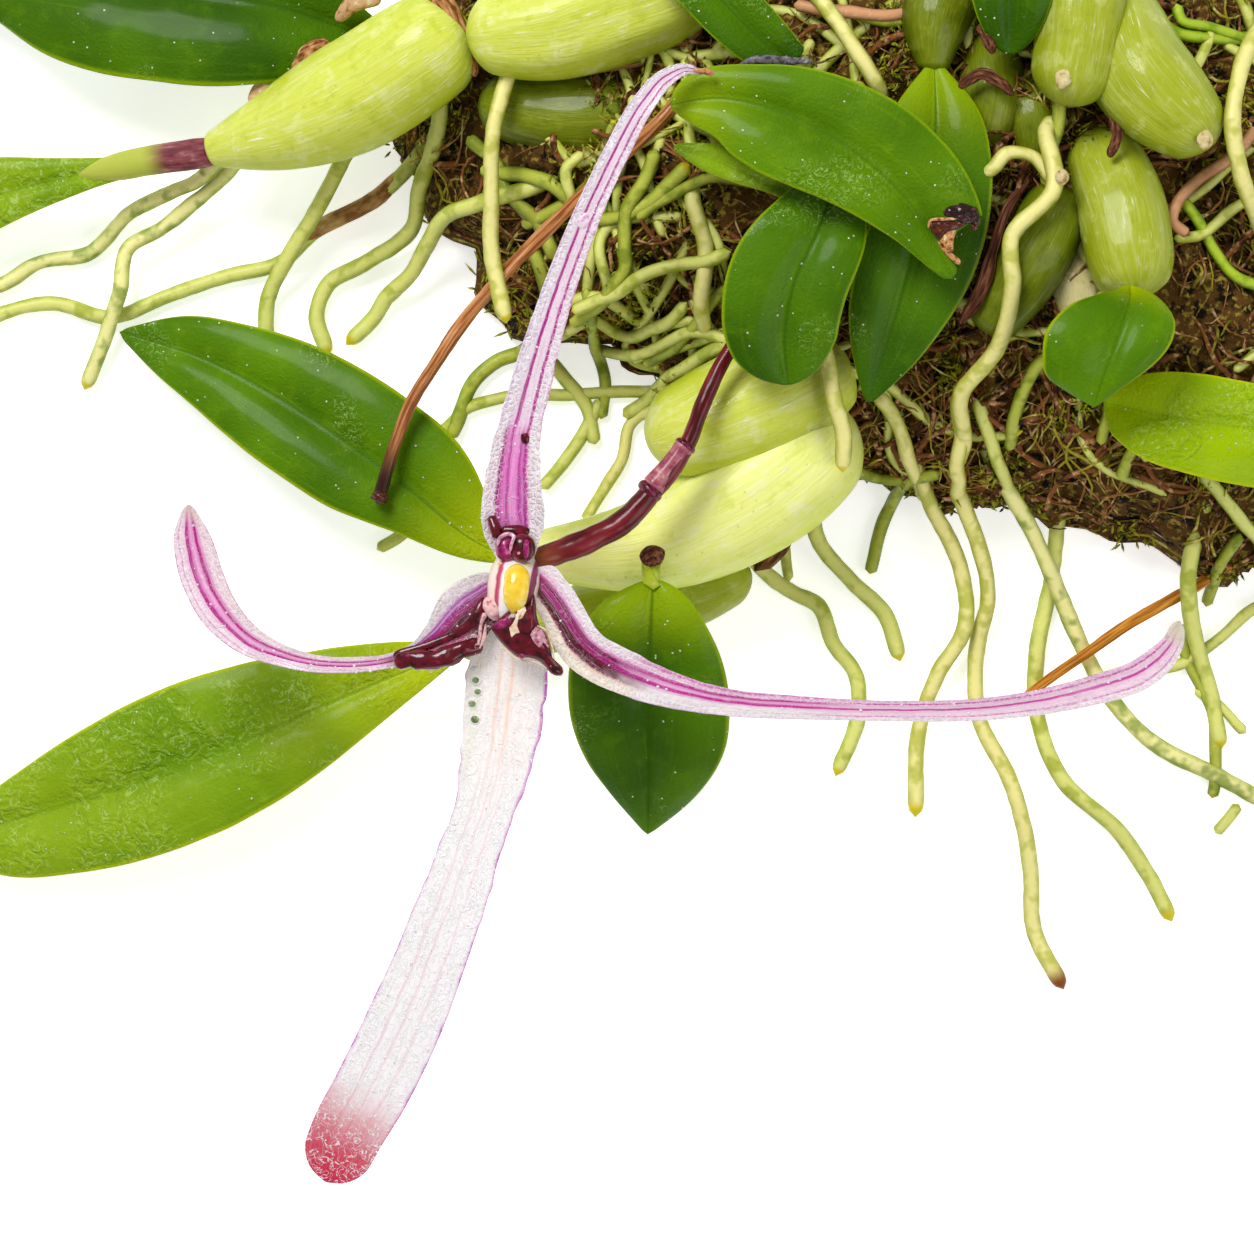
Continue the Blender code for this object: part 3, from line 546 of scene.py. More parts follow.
@dataclass(frozen=True)
class BulbFinish:
    """Fresh pseudobulb: taut waxy skin over juicy flesh. Paler on top and a fuller green round the sides,
    as painted light and shade, with fine lengthwise streaks, pale blotches painted as a mottled sheen
    and small pale glints painted along the top."""

    name: str
    # side and top: the painted shade round the sides and the painted highlight along the top.
    side: str = "#A8B818"
    top: str = "#D0DA5C"
    streak: str = "#EEF2B4"
    # The share of the painted glints.
    glint_share: float = 0.7

    def dress(self) -> bpy.types.Material:
        """Build the material: streaks and painted glints are stretched along it, blotches and pores are
        round.

        Returns:
            The material.
        """
        g = Graph(self.name + "_pseudobulb")
        here, u, v = g.places()
        # Painted light: the colour goes from the top colour on top to the side colour round the sides.
        around = g.add(Do.ABSOLUTE, g.add(Do.SUBTRACT, v, 0.5))
        soft = g.add(Do.MULTIPLY_ADD, g.add(Do.NOISE, here, *grain(6.0)), 0.16, around)
        along = g.add(Do.JOIN, g.add(Do.MULTIPLY, u, 6.0), g.add(Do.MULTIPLY, v, 60.0),
                      g.add(Do.NOISE, here, *grain(9.0)))
        streaks = g.add(Do.NOISE, along, 1.0, 3.0, Distortion=0.3)
        fine = g.add(Do.NOISE, along, 2.3, 2.0, Distortion=0.5)
        blotch = g.add(Do.NOISE, here, *grain(3.4, 3.0, 0.6))
        # Painted highlight: small pale glints stretched along the bulb, in patches and only on its top; they
        # are raised a little in the relief too.
        glint_patches = g.add(Do.STEP, g.add(Do.NOISE, here, *grain(5.0, 2.0)), 0.44, 0.6)
        glint_flecks = g.add(Do.MULTIPLY, g.add(Do.STEP, fine, 0.62, 0.7), glint_patches)
        pore = g.add(Do.STEP, g.add(Do.CELLS, here, scale(2.6)).outputs["Distance"], 0.09, 0.06)
        colour = g.layers(
            g.add(Do.BLEND, g.add(Do.STEP, soft, 0.34, 0.14), self.side, self.top),
            (g.add(Do.STEP, streaks, 0.46, 0.7), 0.25, self.streak),
            # Painted sheen: the pale blotches stand for a mottled sheen; the darker blotches next are the
            # flesh's own mottling.
            (g.add(Do.STEP, blotch, 0.54, 0.68), 0.35, self.streak),
            (g.add(Do.STEP, blotch, 0.44, 0.32), 0.4, self.side),
            (g.add(Do.STEP, fine, 0.5, 0.36), 0.2, self.side),
            (g.add(Do.MULTIPLY, glint_flecks, g.add(Do.STEP, soft, 0.3, 0.1)), self.glint_share, "#FBFBE6"),
            (g.add(Do.MAXIMUM, g.add(Do.STEP, u, 0.16, 0.0), g.add(Do.STEP, u, 0.88, 1.0)), 0.6, self.side),
            (pore, 0.25, "#8A8A1C"))
        relief = g.add(Do.ADD, g.add(Do.ADD, streaks, blotch), g.add(Do.ADD, fine, glint_flecks))
        return g.dress(colour, (relief, 0.3, 0.0005), Roughness=0.4, Specular_IOR_Level=0.15, Coat_Weight=0.2,
                       Coat_Roughness=0.1, Subsurface_Weight=0.1, Subsurface_Radius=(1.0, 0.9, 0.2),
                       Subsurface_Scale=0.002)


@dataclass(frozen=True)
class RootFinish:
    """Aerial root: spongy velamen over a green core. Cream along the top as a painted highlight,
    greener round the sides as painted shade, with a soft growing tip."""

    name: str
    # top and side: the painted highlight along the top and the painted shade round the sides.
    top: str = "#F4EC98"
    side: str = "#A0A41C"
    patch: str = "#B6BC36"
    tip: str = "#E0CC10"
    tip_start: float = 0.97

    def dress(self) -> bpy.types.Material:
        """Build the material: green patches and small pale spots over a top painted pale as a highlight
        and sides painted greener as shade.

        Returns:
            The material.
        """
        g = Graph(self.name + "_velamen")
        here, u, v = g.places()
        # Painted light: the colour goes from the cream top to the greener sides by position round the root.
        around = g.add(Do.ABSOLUTE, g.add(Do.SUBTRACT, v, 0.5))
        soft = g.add(Do.MULTIPLY_ADD, g.add(Do.NOISE, here, *grain(2.4)), 0.2, around)
        colour = g.layers(
            g.add(Do.BLEND, g.add(Do.STEP, soft, 0.36, 0.13), self.side, self.top),
            (g.add(Do.STEP, g.add(Do.NOISE, here, *grain(3.6, 2.0)), 0.5, 0.66), 0.7, self.patch),
            (g.add(Do.STEP, g.add(Do.NOISE, here, *grain(0.8)), 0.56, 0.8), 0.25, "#FBF6CC"),
            (g.add(Do.STEP, u, self.tip_start, self.tip_start + 0.02), 1, self.tip))
        return g.dress(colour, (g.add(Do.NOISE, here, *grain(0.5)), 0.35, 0.0003), Roughness=0.45,
                       Specular_IOR_Level=0.15, Coat_Weight=0.12, Coat_Roughness=0.2, Subsurface_Weight=0.1,
                       Subsurface_Radius=(1.0, 1.0, 0.4), Subsurface_Scale=0.001)


@dataclass(frozen=True)
class StrandFinish:
    """Lengthwise grained stems and papery sheaths: a grain of their own, laid darker in the grooves as
    painted shade and lighter on the ridges as painted highlight.
    """

    name: str
    dark: str
    body: str
    light: str
    gloss: float = 0.6
    coat: float = 0.0
    grain: float = 16.0
    end: str = ""
    end_start: float = 0.8

    def dress(self) -> bpy.types.Material:
        """Build the material: the grain is noise stretched along the strand.

        Returns:
            The material.
        """
        g = Graph(self.name)
        here, u, v = g.places()
        along = g.add(Do.JOIN, g.add(Do.MULTIPLY, u, 10.0), g.add(Do.MULTIPLY, v, self.grain),
                      g.add(Do.NOISE, here, *grain(4.0)))
        lines = g.add(Do.NOISE, along, 1.0, 3.0)
        # The grain is the strand's own, but its tones follow the relief: darker in the grooves as painted
        # shade, lighter on the ridges as painted highlight.
        colour = g.layers(g.add(Do.BLEND, g.add(Do.STEP, lines, 0.36, 0.56), self.dark, self.body),
                          (g.add(Do.STEP, lines, 0.56, 0.72), 0.7, self.light))
        if self.end:
            colour = g.layers(colour, (g.add(Do.STEP, u, self.end_start, self.end_start + 0.12), 1, self.end))
        return g.dress(colour, (lines, 0.35, 0.0003), Roughness=self.gloss, Specular_IOR_Level=0.15,
                       Coat_Weight=self.coat, Coat_Roughness=0.1)


@dataclass(frozen=True)
class TepalFinish:
    """Living petal tissue: a thin sheet of clear juicy cells over coloured veins. It glistens, is finely
    wrinkled, and bubbles of clear cells stand along its edges. Part of the glisten is painted: white
    highlights on the wrinkle crests, the raised folds and the cell walls; and the tissue glows faintly,
    as painted light."""

    name: str
    base: Stops
    limb: Stops
    join: tuple[float, float]
    middle: Stops = ()
    second_join: tuple[float, float] = (0.5, 0.6)
    tip: str = "#E8D6D2"
    tip_start: float = 0.95
    bubbles: float = 0.8
    # The share of the painted white highlight on the wrinkle crests.
    wrinkle: float = 0.18
    fold: float = 0.14
    # Painted light: the tissue glows by this much in its own colour, as if lit through.
    painted_glow: float = 0.06

    def dress(self) -> bpy.types.Material:
        """Build the material: rows of veins across it change from base to limb, and sway as they run.

        Returns:
            The material.
        """
        g = Graph(self.name)
        here, u, v = g.places()
        sway, jag = (g.add(Do.MULTIPLY, g.add(Do.SUBTRACT, g.add(Do.NOISE, here, *size), 0.5), reach)
                     for size, reach in ((grain(3.5, 2.0), 0.08), (grain(0.35, 1.0), 0.02)))
        across = g.add(Do.ADD, v, g.add(Do.ADD, sway, jag))
        colour = g.add(Do.RAMP, across, stops=self.base)
        joins = (self.join, self.second_join if self.middle else self.join)
        for stops, join in zip((self.middle, self.limb), joins):
            if stops:
                veins = g.add(Do.RAMP, across, stops=stops)
                colour = g.layers(colour, (g.add(Do.STEP, g.add(Do.ADD, u, sway), *join), 1, veins))
        tip = g.add(Do.STEP, g.add(Do.ADD, u, g.add(Do.MULTIPLY, sway, 0.6)), self.tip_start, 1.0)
        off = g.add(Do.ABSOLUTE, g.add(Do.MULTIPLY_ADD, v, 2.0, -1.0))
        edge = g.add(Do.MULTIPLY, g.add(Do.STEP, g.add(Do.ADD, off, sway), 0.3, 0.6), self.bubbles)
        # Painted highlight: the cell walls in the edge bands are painted near white, as rings of light.
        cells = g.add(Do.WALLS, here, scale(0.75)).outputs["Distance"]
        core, wall_highlight, mound = (g.add(Do.MULTIPLY, g.add(Do.STEP, cells, low, high), edge)
                             for low, high in ((0.16, 0.4), (0.1, 0.02), (0.0, 0.3)))
        wrinkles = g.add(Do.NOISE, here, scale(1.1), 1.0, Distortion=1.0)
        crest = g.add(Do.STEP, g.add(Do.ABSOLUTE, g.add(Do.SUBTRACT, wrinkles, 0.5)), 0.035, 0.01)
        lengthwise = g.add(Do.JOIN, g.add(Do.MULTIPLY, u, 9.0), g.add(Do.MULTIPLY, across, 34.0))
        folds = g.add(Do.NOISE, lengthwise, 1.0, 2.0)
        colour = g.layers(
            colour,
            (tip, 1, self.tip),
            (core, 0.3, "#B494A8"),
            (wall_highlight, 0.8, "#FFFDFD"),
            # Painted highlight: white on the raised folds.
            (g.add(Do.STEP, folds, 0.52, 0.66), 0.18, "#FFFFFF"),
            (g.add(Do.STEP, folds, 0.46, 0.36), self.fold, "#C84C94"),
            (tip, 0.7, self.tip),
            # Painted highlight: white on the wrinkle crests.
            (crest, self.wrinkle, "#FFFFFF"))
        relief = g.add(Do.ADD, mound, g.add(Do.MULTIPLY_ADD, crest, 0.8, folds))
        # The emission is painted light.
        return g.dress(colour, (relief, 0.6, 0.0004), Roughness=0.34, Specular_IOR_Level=0.2, Coat_Weight=0.3,
                       Coat_Roughness=0.08, Subsurface_Weight=0.1, Subsurface_Radius=(1.0, 0.6, 0.8),
                       Subsurface_Scale=0.001, Emission_Color=colour, Emission_Strength=self.painted_glow)


@dataclass(frozen=True)
class FleshFinish:
    """Waxy flower flesh, such as the anther cap and the lip: smooth, glossy and a little mottled."""

    name: str
    body: str
    light: str
    dark: str
    size: float = 1.6
    coat: float = 0.5
    rough: float = 0.3
    relief: float = 0.25

    def dress(self) -> bpy.types.Material:
        """Build the material: three tones in soft patches, over a relief of small cells.

        Returns:
            The material.
        """
        g = Graph(self.name)
        here = g.add(Do.PLACES).outputs["Object"]
        patches = g.add(Do.NOISE, here, *grain(self.size))
        colour = g.layers(self.dark, (g.add(Do.STEP, patches, 0.34, 0.5), 1, self.body),
                          (g.add(Do.STEP, patches, 0.56, 0.72), 1, self.light))
        cells = g.add(Do.CELLS, here, scale(0.7)).outputs["Distance"]
        height = g.add(Do.ADD, cells, g.add(Do.NOISE, here, *grain(0.9)))
        return g.dress(colour, (height, self.relief, 0.0003), Roughness=self.rough, Specular_IOR_Level=0.15,
                       Coat_Weight=self.coat, Coat_Roughness=0.08)


@dataclass(frozen=True)
class ColumnFinish:
    """Orchid column: waxy cream flesh with a red line down one side and a dark pink one down the other."""

    stops: Stops = (
        (0.25, "#EACDB4"), (0.318, "#F6E6D4"), (0.332, "#6E1238"), (0.355, "#8E2A5E"), (0.385, "#A04070"),
        (0.397, "#F0E0DC"), (0.54, "#F8F2F2"), (0.576, "#FAF4F4"), (0.588, "#CC5878"), (0.612, "#B83458"),
        (0.628, "#F6DED2"), (0.70, "#F6E4D2"), (0.76, "#EAC4AC"))

    def dress(self) -> bpy.types.Material:
        """Build the material: the lines sway a little, and the far end is flushed with pink.

        Returns:
            The material.
        """
        g = Graph("cream_column_flesh")
        here, u, v = g.places()
        sway = g.add(Do.MULTIPLY, g.add(Do.SUBTRACT, g.add(Do.NOISE, here, *grain(1.2)), 0.5), 0.02)
        pink = g.add(Do.STEP, g.add(Do.NOISE, here, *grain(1.4)), 0.46, 0.6)
        colour = g.layers(g.add(Do.RAMP, g.add(Do.ADD, v, sway), stops=self.stops),
                          (g.add(Do.MULTIPLY, pink, g.add(Do.STEP, u, 0.72, 0.9)), 0.7, "#DE8E9A"))
        return g.dress(colour, (g.add(Do.NOISE, here, *grain(0.6)), 0.3, 0.0003), Roughness=0.35,
                       Specular_IOR_Level=0.35, Coat_Weight=0.35, Coat_Roughness=0.1)


@dataclass(frozen=True)
class LitterFinish:
    """Fern fibre, peat or moss: many small dull things, each a little different in colour."""

    name: str
    dark: str
    body: str
    light: str
    size: float = 3.0
    fine: float = 0.5

    def dress(self) -> bpy.types.Material:
        """Build the material: patches of two tones, and smaller light ones over them.

        Returns:
            The material.
        """
        g = Graph(self.name)
        here = g.add(Do.PLACES).outputs["Object"]
        patches = g.add(Do.NOISE, here, *grain(self.size, 3.0, 0.6))
        lit = g.add(Do.NOISE, here, *grain(self.size * 0.4, 2.0))
        colour = g.layers(self.dark, (g.add(Do.STEP, patches, 0.38, 0.52), 1, self.body),
                          (g.add(Do.STEP, lit, 0.52, 0.68), 1, self.light))
        crumbs = g.add(Do.NOISE, here, *grain(self.fine, 4.0, 0.7))
        return g.dress(colour, (crumbs, 0.8, 0.001), Roughness=0.85, Specular_IOR_Level=0.2)


# ---- leaves

@dataclass(frozen=True)
class Leaf:
    """One leaf: a blade along a path, with its own half widths to the left and right of travel, or the
    same ones where right is empty.

    tip is the share of the length over which the far end rounds off, foot the same at the near end, and
    torn the share past which the left half is torn away, down to its rib. Where the half width is less
    than stalk, the leaf is a plain stem; past it the blade thins, and is grooved, shouldered and wavy.
    """

    name: str
    tone: LeafTone
    path: Rows
    left: Row
    right: Row
    cup: float = 0.08
    tip: float = 0.02
    foot: float = 0.0
    torn: float = 2.0
    stalk: float = 1.5
    rib: float = 1.3
    thick: float = 0.62
    thinning: float = 0.22
    groove: float = 0.42
    groove_width: float = 0.6
    shoulder: float = 0.13
    wave: float = 0.3
    ripple: float = 0.10

    def rings(self, along: int = 110, around: int = 48) -> Array:
        """Work out the leaf's skin.

        With t running from -1 at the right edge to 1 at the left and back underneath, a point is the
        path's point plus t times the half width to the side, plus a rise of cup times the half width
        times t squared, less a narrow groove along t = 0, plus half the thickness on the upper side
        and less it below. The thickness falls as the fourth root of 1 - t squared, so edges are round.

        Args:
            along: Rings along it.
            around: Points round each ring.

        Returns:
            Rings of shape (along, around, 3).
        """
        s = np.linspace(0, 1, along)
        spine = at_share(smooth_rows(self.path, 400), s)
        left, lift = frames(spine)
        t, face = sheet_round(around)
        close = np.sqrt(1 - (1 - np.clip((1 - s) / self.tip, 0.01, 1)) ** 2)
        if self.foot:
            close *= np.sqrt(1 - (1 - np.clip(s / self.foot, 0.02, 1)) ** 2)
        half = half_width(self.left, self.right, s, t) * close[:, None]
        jag = 0.012 * noise(spine, 0.7, 21)
        cut = ease(self.torn, self.torn + 0.02, s + jag)[:, None]
        half = np.where(t > 0, half * (1 - cut) + self.rib * cut * close[:, None], half)
        where = spine[:, None, :] + left[:, None, :] * (half * t)[..., None]
        half = half * (1 + 0.008 * noise(where, 5.0, 3) * np.abs(t) ** 3)
        body = np.clip((half - self.stalk) / 4, 0, 1)
        thick = (self.thick - self.thinning * body) * (1 - t**2) ** 0.25
        groove = self.groove * body * np.exp(-((half * t) / self.groove_width) ** 2)
        sway = self.wave * body * noise(where, 15.0, 5) * np.abs(t)
        sway = sway + self.ripple * body * noise(where, 4.0, 6)
        rise = self.cup * half * t**2 + self.shoulder * half * np.sin(math.pi * np.abs(t)) - groove + sway
        rise = rise + face * thick - np.where(face > 0, 0, 0.6 * groove)
        return spread(spine, left, lift, half * t, rise)


LEAVES: tuple[Leaf, ...] = (
    Leaf("left_leaf", LeafTone.MIDDLE,
         ((-63.3, -57, 16.6), (-69, -54.2, 16.4), (-78, -47, 15.5), (-92.5, -36.5, 13), (-108.5, -27.5, 9),
          (-121, -23.5, 5)), (0.9, 3.8, 6.6, 9, 9.5, 9, 7.5, 5, 0.6),
         (0.9, 6.5, 9.8, 10.3, 10, 9, 7, 4.8, 0.6)),
    Leaf("lower_left_leaf", LeafTone.FRESH,
         ((-70.3, -69.6, 8.8), (-76, -72, 9.8), (-87, -76.5, 11), (-109, -86, 9.5), (-131.5, -93.5, 6.5),
          (-150, -98.5, 4)), (0.9, 4.2, 7.4, 9.8, 11, 11.3, 10.3, 7.8, 0.6),
         (0.9, 5, 8, 10.6, 11.5, 10.5, 8, 4.5, 0.6), tip=0.04),
    Leaf("centre_leaf", LeafTone.DEEP,
         ((-43, -60, 27), (-43, -61.8, 27.5), (-43.1, -64.5, 27.4), (-43.3, -69, 26.2), (-43.5, -78, 23.6),
          (-43.5, -89, 18), (-43.6, -96.6, 12)), (3, 6.4, 9, 10.6, 11.4, 11.6, 11.2, 9.8, 7.4, 4.3, 0.4),
         (3, 7.6, 10.2, 11.4, 11.6, 11.1, 10, 8.2, 5.8, 3.2, 0.4), foot=0.08),
    Leaf("top_left_leaf", LeafTone.DEEP,
         ((-68, 12.5, 7), (-76, 16, 11), (-85, 19, 15.5), (-95.5, 22.5, 18), (-112.5, 25.5, 17),
          (-132, 28, 13), (-149, 28, 7)), (0.9, 1.2, 4.5, 10.2, 13, 13.7, 13.5, 11.2, 5.6, 0.6),
         (0.9, 1.2, 3, 7, 10.3, 12.2, 12.5, 11.4, 7, 0.6)),
    Leaf("far_left_leaf", LeafTone.FRESH,
         ((-106.5, 2.7, 14), (-116, 1, 12.8), (-125, -0.5, 11), (-138.5, -3.5, 9), (-152, -6.5, 6),
          (-165, -9.5, 3)), (1.8, 1.8, 2, 3, 4.2, 6, 7.5, 5.5, 0.6), (1.8, 1.6, 1.6, 3, 5, 6.5, 6, 3.8, 0.6)),
    Leaf("torn_leaf", LeafTone.MATURE,
         ((-40.4, 6, 42.6), (-37.4, 6.6, 43.3), (-34, 6.9, 44), (-28, 5.8, 45), (-15.5, -0.5, 46),
          (-6.8, -8.6, 45.3), (-1.4, -18.2, 43.3)), (3.6, 4.3, 5.4, 6.9, 8.1, 9, 9.2, 8.9, 7.6, 5),
         (3.2, 5.2, 8, 9.2, 9, 8, 6.8, 5.4, 3.4, 0.8), foot=0.12, torn=0.883),
    Leaf("under_leaf", LeafTone.FRESH,
         ((-20.5, -7, 29.5), (-27, -4.5, 37.8), (-34.5, -1.5, 40), (-40, 0.5, 39.5)),
         (0.9, 1, 1.1, 1.7, 1.8, 0.5), (1, 2.4, 3, 3, 2.2, 0.6)),
    Leaf("round_leaf", LeafTone.DEEP,
         ((-16, -3, 29), (-18, -6.5, 38), (-20, -11.5, 41), (-23, -18, 41.3), (-24.5, -26, 39.5),
          (-24, -32.5, 37)), (0.9, 1.6, 4.6, 6.6, 7.4, 7.5, 7.4, 7.2, 7),
         (0.9, 1.6, 4.6, 7, 8.6, 9.5, 9.2, 8.2, 7), cup=0.14, tip=0.22),
    Leaf("dark_leaf", LeafTone.DEEP,
         ((-3.3, 12.3, 35.3), (-3.3, 3, 37.2), (-5, -8, 36), (-8, -20.5, 34.8), (-12.5, -35, 33)),
         (1.2, 5.6, 8.2, 9.3, 9.4, 8.5, 6.6, 4, 0.6), (1.2, 5.6, 6.8, 7, 7, 7.4, 6.8, 4.4, 0.6), cup=0.16),
    Leaf("upper_leaf", LeafTone.DEEP,
         ((-49, 40, 27.5), (-45.5, 36, 34), (-40, 29, 38.6), (-32, 19.5, 39.8), (-23.5, 11.5, 39.4)),
         (1.2, 3.6, 4.6, 4.8, 4.6, 4.2, 3.2), (), cup=0.2),
    Leaf("top_right_leaf", LeafTone.DEEP,
         ((6, 48, 15.5), (6.3, 42, 34), (7, 31, 42), (7, 20.5, 43.5), (7, 13.5, 40.5)),
         (1.2, 4, 5.6, 6, 6.2, 6, 5), (), tip=0.22),
    Leaf("heart_leaf", LeafTone.MIDDLE,
         ((23.7, -19.4, 40), (23.3, -21.4, 43.5), (21.4, -26.9, 45.5), (19.7, -31.8, 45.3),
          (18.5, -35.9, 42.8)), (1, 4.2, 6.7, 7.3, 6.8, 5.4, 3.6, 1.9, 0.3),
         (0.9, 2.2, 4.6, 7.4, 9.1, 9.7, 9, 7.2, 0.9), tip=0.05, foot=0.06),
    Leaf("right_leaf", LeafTone.YOUNG,
         ((67.5, -40.5, 20.5), (62, -41.5, 23.5), (50.5, -39.5, 29), (37, -38, 33), (27, -36.5, 34),
          (21, -35, 33)), (1.2, 4, 7, 8.3, 8.5, 8.2, 7.6, 6.4, 3), (1.2, 3.4, 4.8, 5.5, 6, 6.4, 6.6, 5.8, 3),
         tip=0.05),
)


@dataclass
class Leaves:
    """All the leaves of the plant."""

    leaves: tuple[Leaf, ...] = LEAVES
    young: tuple[str, ...] = ("lower_left_leaf", "far_left_leaf", "right_leaf")

    def build(self) -> None:
        """Build and dress each leaf in place of its plain solid."""
        finishes = {tone: LeafFinish(tone).dress() for tone in LeafTone}
        for leaf in self.leaves:
            piece = sheet_skin(leaf.rings()).finish(leaf.name + "_blade", finishes[leaf.tone])
            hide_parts(leaf.name)
            "young_leaf" if leaf.name in self.young else "leaf"


# ---- pseudobulbs

class BulbTone(Enum):
    """How a pseudobulb looks: sunlit, pale, fresh green, in the shade, or blanched."""

    SUNLIT = BulbFinish("sunlit", "#D4E046", "#F8FC94", "#FEFED8", 0.5)
    PALE = BulbFinish("pale", "#B8C612", "#DAE25A", "#F4F6BC")
    GREEN = BulbFinish("green", "#8E9E04", "#AAB62C", "#DCE290", 0.5)
    SHADED = BulbFinish("shaded", "#445400", "#768408", "#A0A838", 0.1)
    BLANCHED = BulbFinish("blanched", "#B4A04A", "#DCCF92", "#F0E8C4", 0.3)


@dataclass(frozen=True)
class Bulb:
    """One pseudobulb: a ribbed fleshy body along a path, from its foot to its tip.

    foot and tip are the shares of the length over which each end rounds off; ribs, wrinkle and swell
    are shares of the radius, and rib_counts says how many ribs of each of two kinds go round.
    """

    name: str
    tone: BulbTone
    path: Rows
    radii: Row
    foot: float = 0.08
    tip: float = 0.05
    ribs: float = 0.018
    rib_counts: tuple[int, int] = (5, 8)
    wrinkle: float = 0.012
    swell: float = 0.03

    def rings(self, along: int = 76, around: int = 48) -> Array:
        """Work out the bulb's skin.

        The radius is the row's radius, closed to nothing at both ends as a quarter of an ellipse, times
        1 plus a few blunt ribs, which are cosines of 5 and 8 turns that fade out at the ends, plus
        lengthwise wrinkles and a soft random swell.

        Args:
            along: Rings along it.
            around: Points round each ring.

        Returns:
            Rings of shape (along, around, 3).
        """
        s = share_of_ends(along)
        spine = at_share(smooth_rows(self.path, 300), s)
        turn = (np.arange(around) / around * 2 * math.pi)[None, :]
        ends = 1 - np.clip(np.minimum(s / self.foot, (1 - s) / self.tip), 0, 1)
        radius = (read_row(self.radii, s) * np.maximum(np.sqrt(1 - ends**2), 0.01))[:, None]
        fade = np.sin(math.pi * s)[:, None] ** 0.6
        phase = sum(ord(c) for c in self.name) * 0.37
        few, many = self.rib_counts
        ribs = np.cos(few * turn + phase + 1.2 * s[:, None])
        ribs = ribs + 0.6 * np.cos(many * turn - phase + 0.8 * s[:, None])
        round_trip = np.stack(np.broadcast_arrays(np.cos(turn), np.sin(turn), 0.5 * s[:, None]), axis=-1)
        wrinkles = noise(round_trip * 9.0, 1.0, 11) * self.wrinkle
        wrinkles = wrinkles + noise(round_trip * 2.5 + phase, 1.0, 12) * self.swell
        return tube(spine, radius * (1 + self.ribs * ribs * fade + wrinkles * fade), around)


BULBS: tuple[Bulb, ...] = (
    Bulb("left_bulb", BulbTone.PALE,
         ((-69.5, 20, 24), (-76.5, 15.3, 23.5), (-85.5, 9.8, 21), (-95.2, 5.6, 18), (-107.5, 2.3, 14)),
         (6.8, 7.9, 8.2, 8, 6.8, 4.8, 2.3), foot=0.14, tip=0.02),
    Bulb("upper_bulb", BulbTone.PALE,
         ((-35.5, 26, 27), (-47.5, 22, 28), (-59, 18.5, 28.5), (-69.5, 17.2, 29)),
         (6, 8, 8.6, 8.6, 8, 6.6, 4.6), tip=0.1),
    Bulb("shaded_bulb", BulbTone.SHADED, ((-43, 7.5, 23), (-56, 7, 21), (-68, 9, 19.5)),
         (4, 5.5, 6.2, 6.2, 5.6, 4.8, 3.4), tip=0.1),
    Bulb("stalk_bulb", BulbTone.PALE, ((-15, -28, 23), (-26.5, -34, 23.5), (-43.8, -40.6, 23.5)),
         (5.5, 7.6, 8.2, 8.3, 7.8, 6.8, 5.4), tip=0.16),
    Bulb("front_bulb", BulbTone.SUNLIT,
         ((-14.5, -36, 19), (-27, -46.5, 19.5), (-42, -54.5, 18.5), (-64.5, -56.5, 16.5)),
         (7, 8.8, 9, 8, 6.4, 4.4, 2.2), foot=0.12),
    Bulb("lower_bulb", BulbTone.GREEN,
         ((-28.5, -58.5, 9), (-42, -63.5, 7.5), (-56.5, -66, 7.5), (-71.5, -70, 9)),
         (3.4, 4.6, 5, 5, 4.4, 3.4, 2)),
    Bulb("crown_bulb", BulbTone.GREEN, ((17.5, 30, 38), (17, 18, 40), (15, 6.2, 39.5)),
         (4, 5.5, 6, 6, 6, 5.8, 5.4), tip=0.2),
    Bulb("scar_bulb", BulbTone.GREEN, ((21.5, 23, 31), (25.5, 10.5, 38.5), (35.3, 0.6, 41)),
         (4.6, 6.3, 7, 7.2, 7, 5.8, 3.6), tip=0.1),
    Bulb("heart_bulb", BulbTone.GREEN, ((19.5, 4, 28), (23, -7.5, 34), (25, -20.5, 38)),
         (3, 5.4, 6.2, 6.5, 6.4, 5.9, 4), tip=0.1),
    Bulb("dark_bulb", BulbTone.SHADED, ((0.5, 27.5, 31), (-3, 19, 34), (-3.5, 11.5, 35)),
         (4, 5, 5.2, 5, 4.4, 3.2, 2)),
    Bulb("root_bulb", BulbTone.SHADED, ((15.5, -4.5, 32), (10.5, -14.5, 33), (4, -25, 31)),
         (3.4, 4.8, 5.4, 5.5, 5.2, 4.4, 3.4), tip=0.1),
    Bulb("hidden_bulb", BulbTone.GREEN, ((-22, 2, 31), (-29, 4.5, 32), (-37, 7, 36)),
         (4, 4.8, 5, 4.8, 4.2, 3, 1.8)),
    Bulb("top_bulb", BulbTone.GREEN, ((-18, 46, 22), (-32, 44, 25), (-47.5, 41, 27)),
         (4.4, 6.2, 6.8, 6.6, 5.8, 4.4, 2.2)),
    Bulb("right_bulb", BulbTone.GREEN, ((59, -16, 17), (64, -28, 18), (68, -40.5, 20)),
         (4.4, 6.2, 6.8, 6.6, 5.8, 4.4, 2.2)),
)

SMALL_BULBS: tuple[Bulb, ...] = (
    Bulb("blanched_shoot", BulbTone.BLANCHED, ((15.2, -13, 28), (16.8, -18, 30), (18.2, -24, 30)),
         (2.4, 3.2, 3.6, 3.4, 2.6)),
    Bulb("old_dark_bulb", BulbTone.SHADED, ((4.5, 17, 28), (5, 8.5, 31), (3.5, 0.5, 30)),
         (3.4, 4.6, 4.8, 4.4, 3), tip=0.15),
    Bulb("old_rear_bulb", BulbTone.SHADED, ((9.5, 12, 29), (11, 5, 31.5), (11.5, -2, 30)),
         (2.4, 3.4, 3.6, 3.4, 2.4), tip=0.15),
)


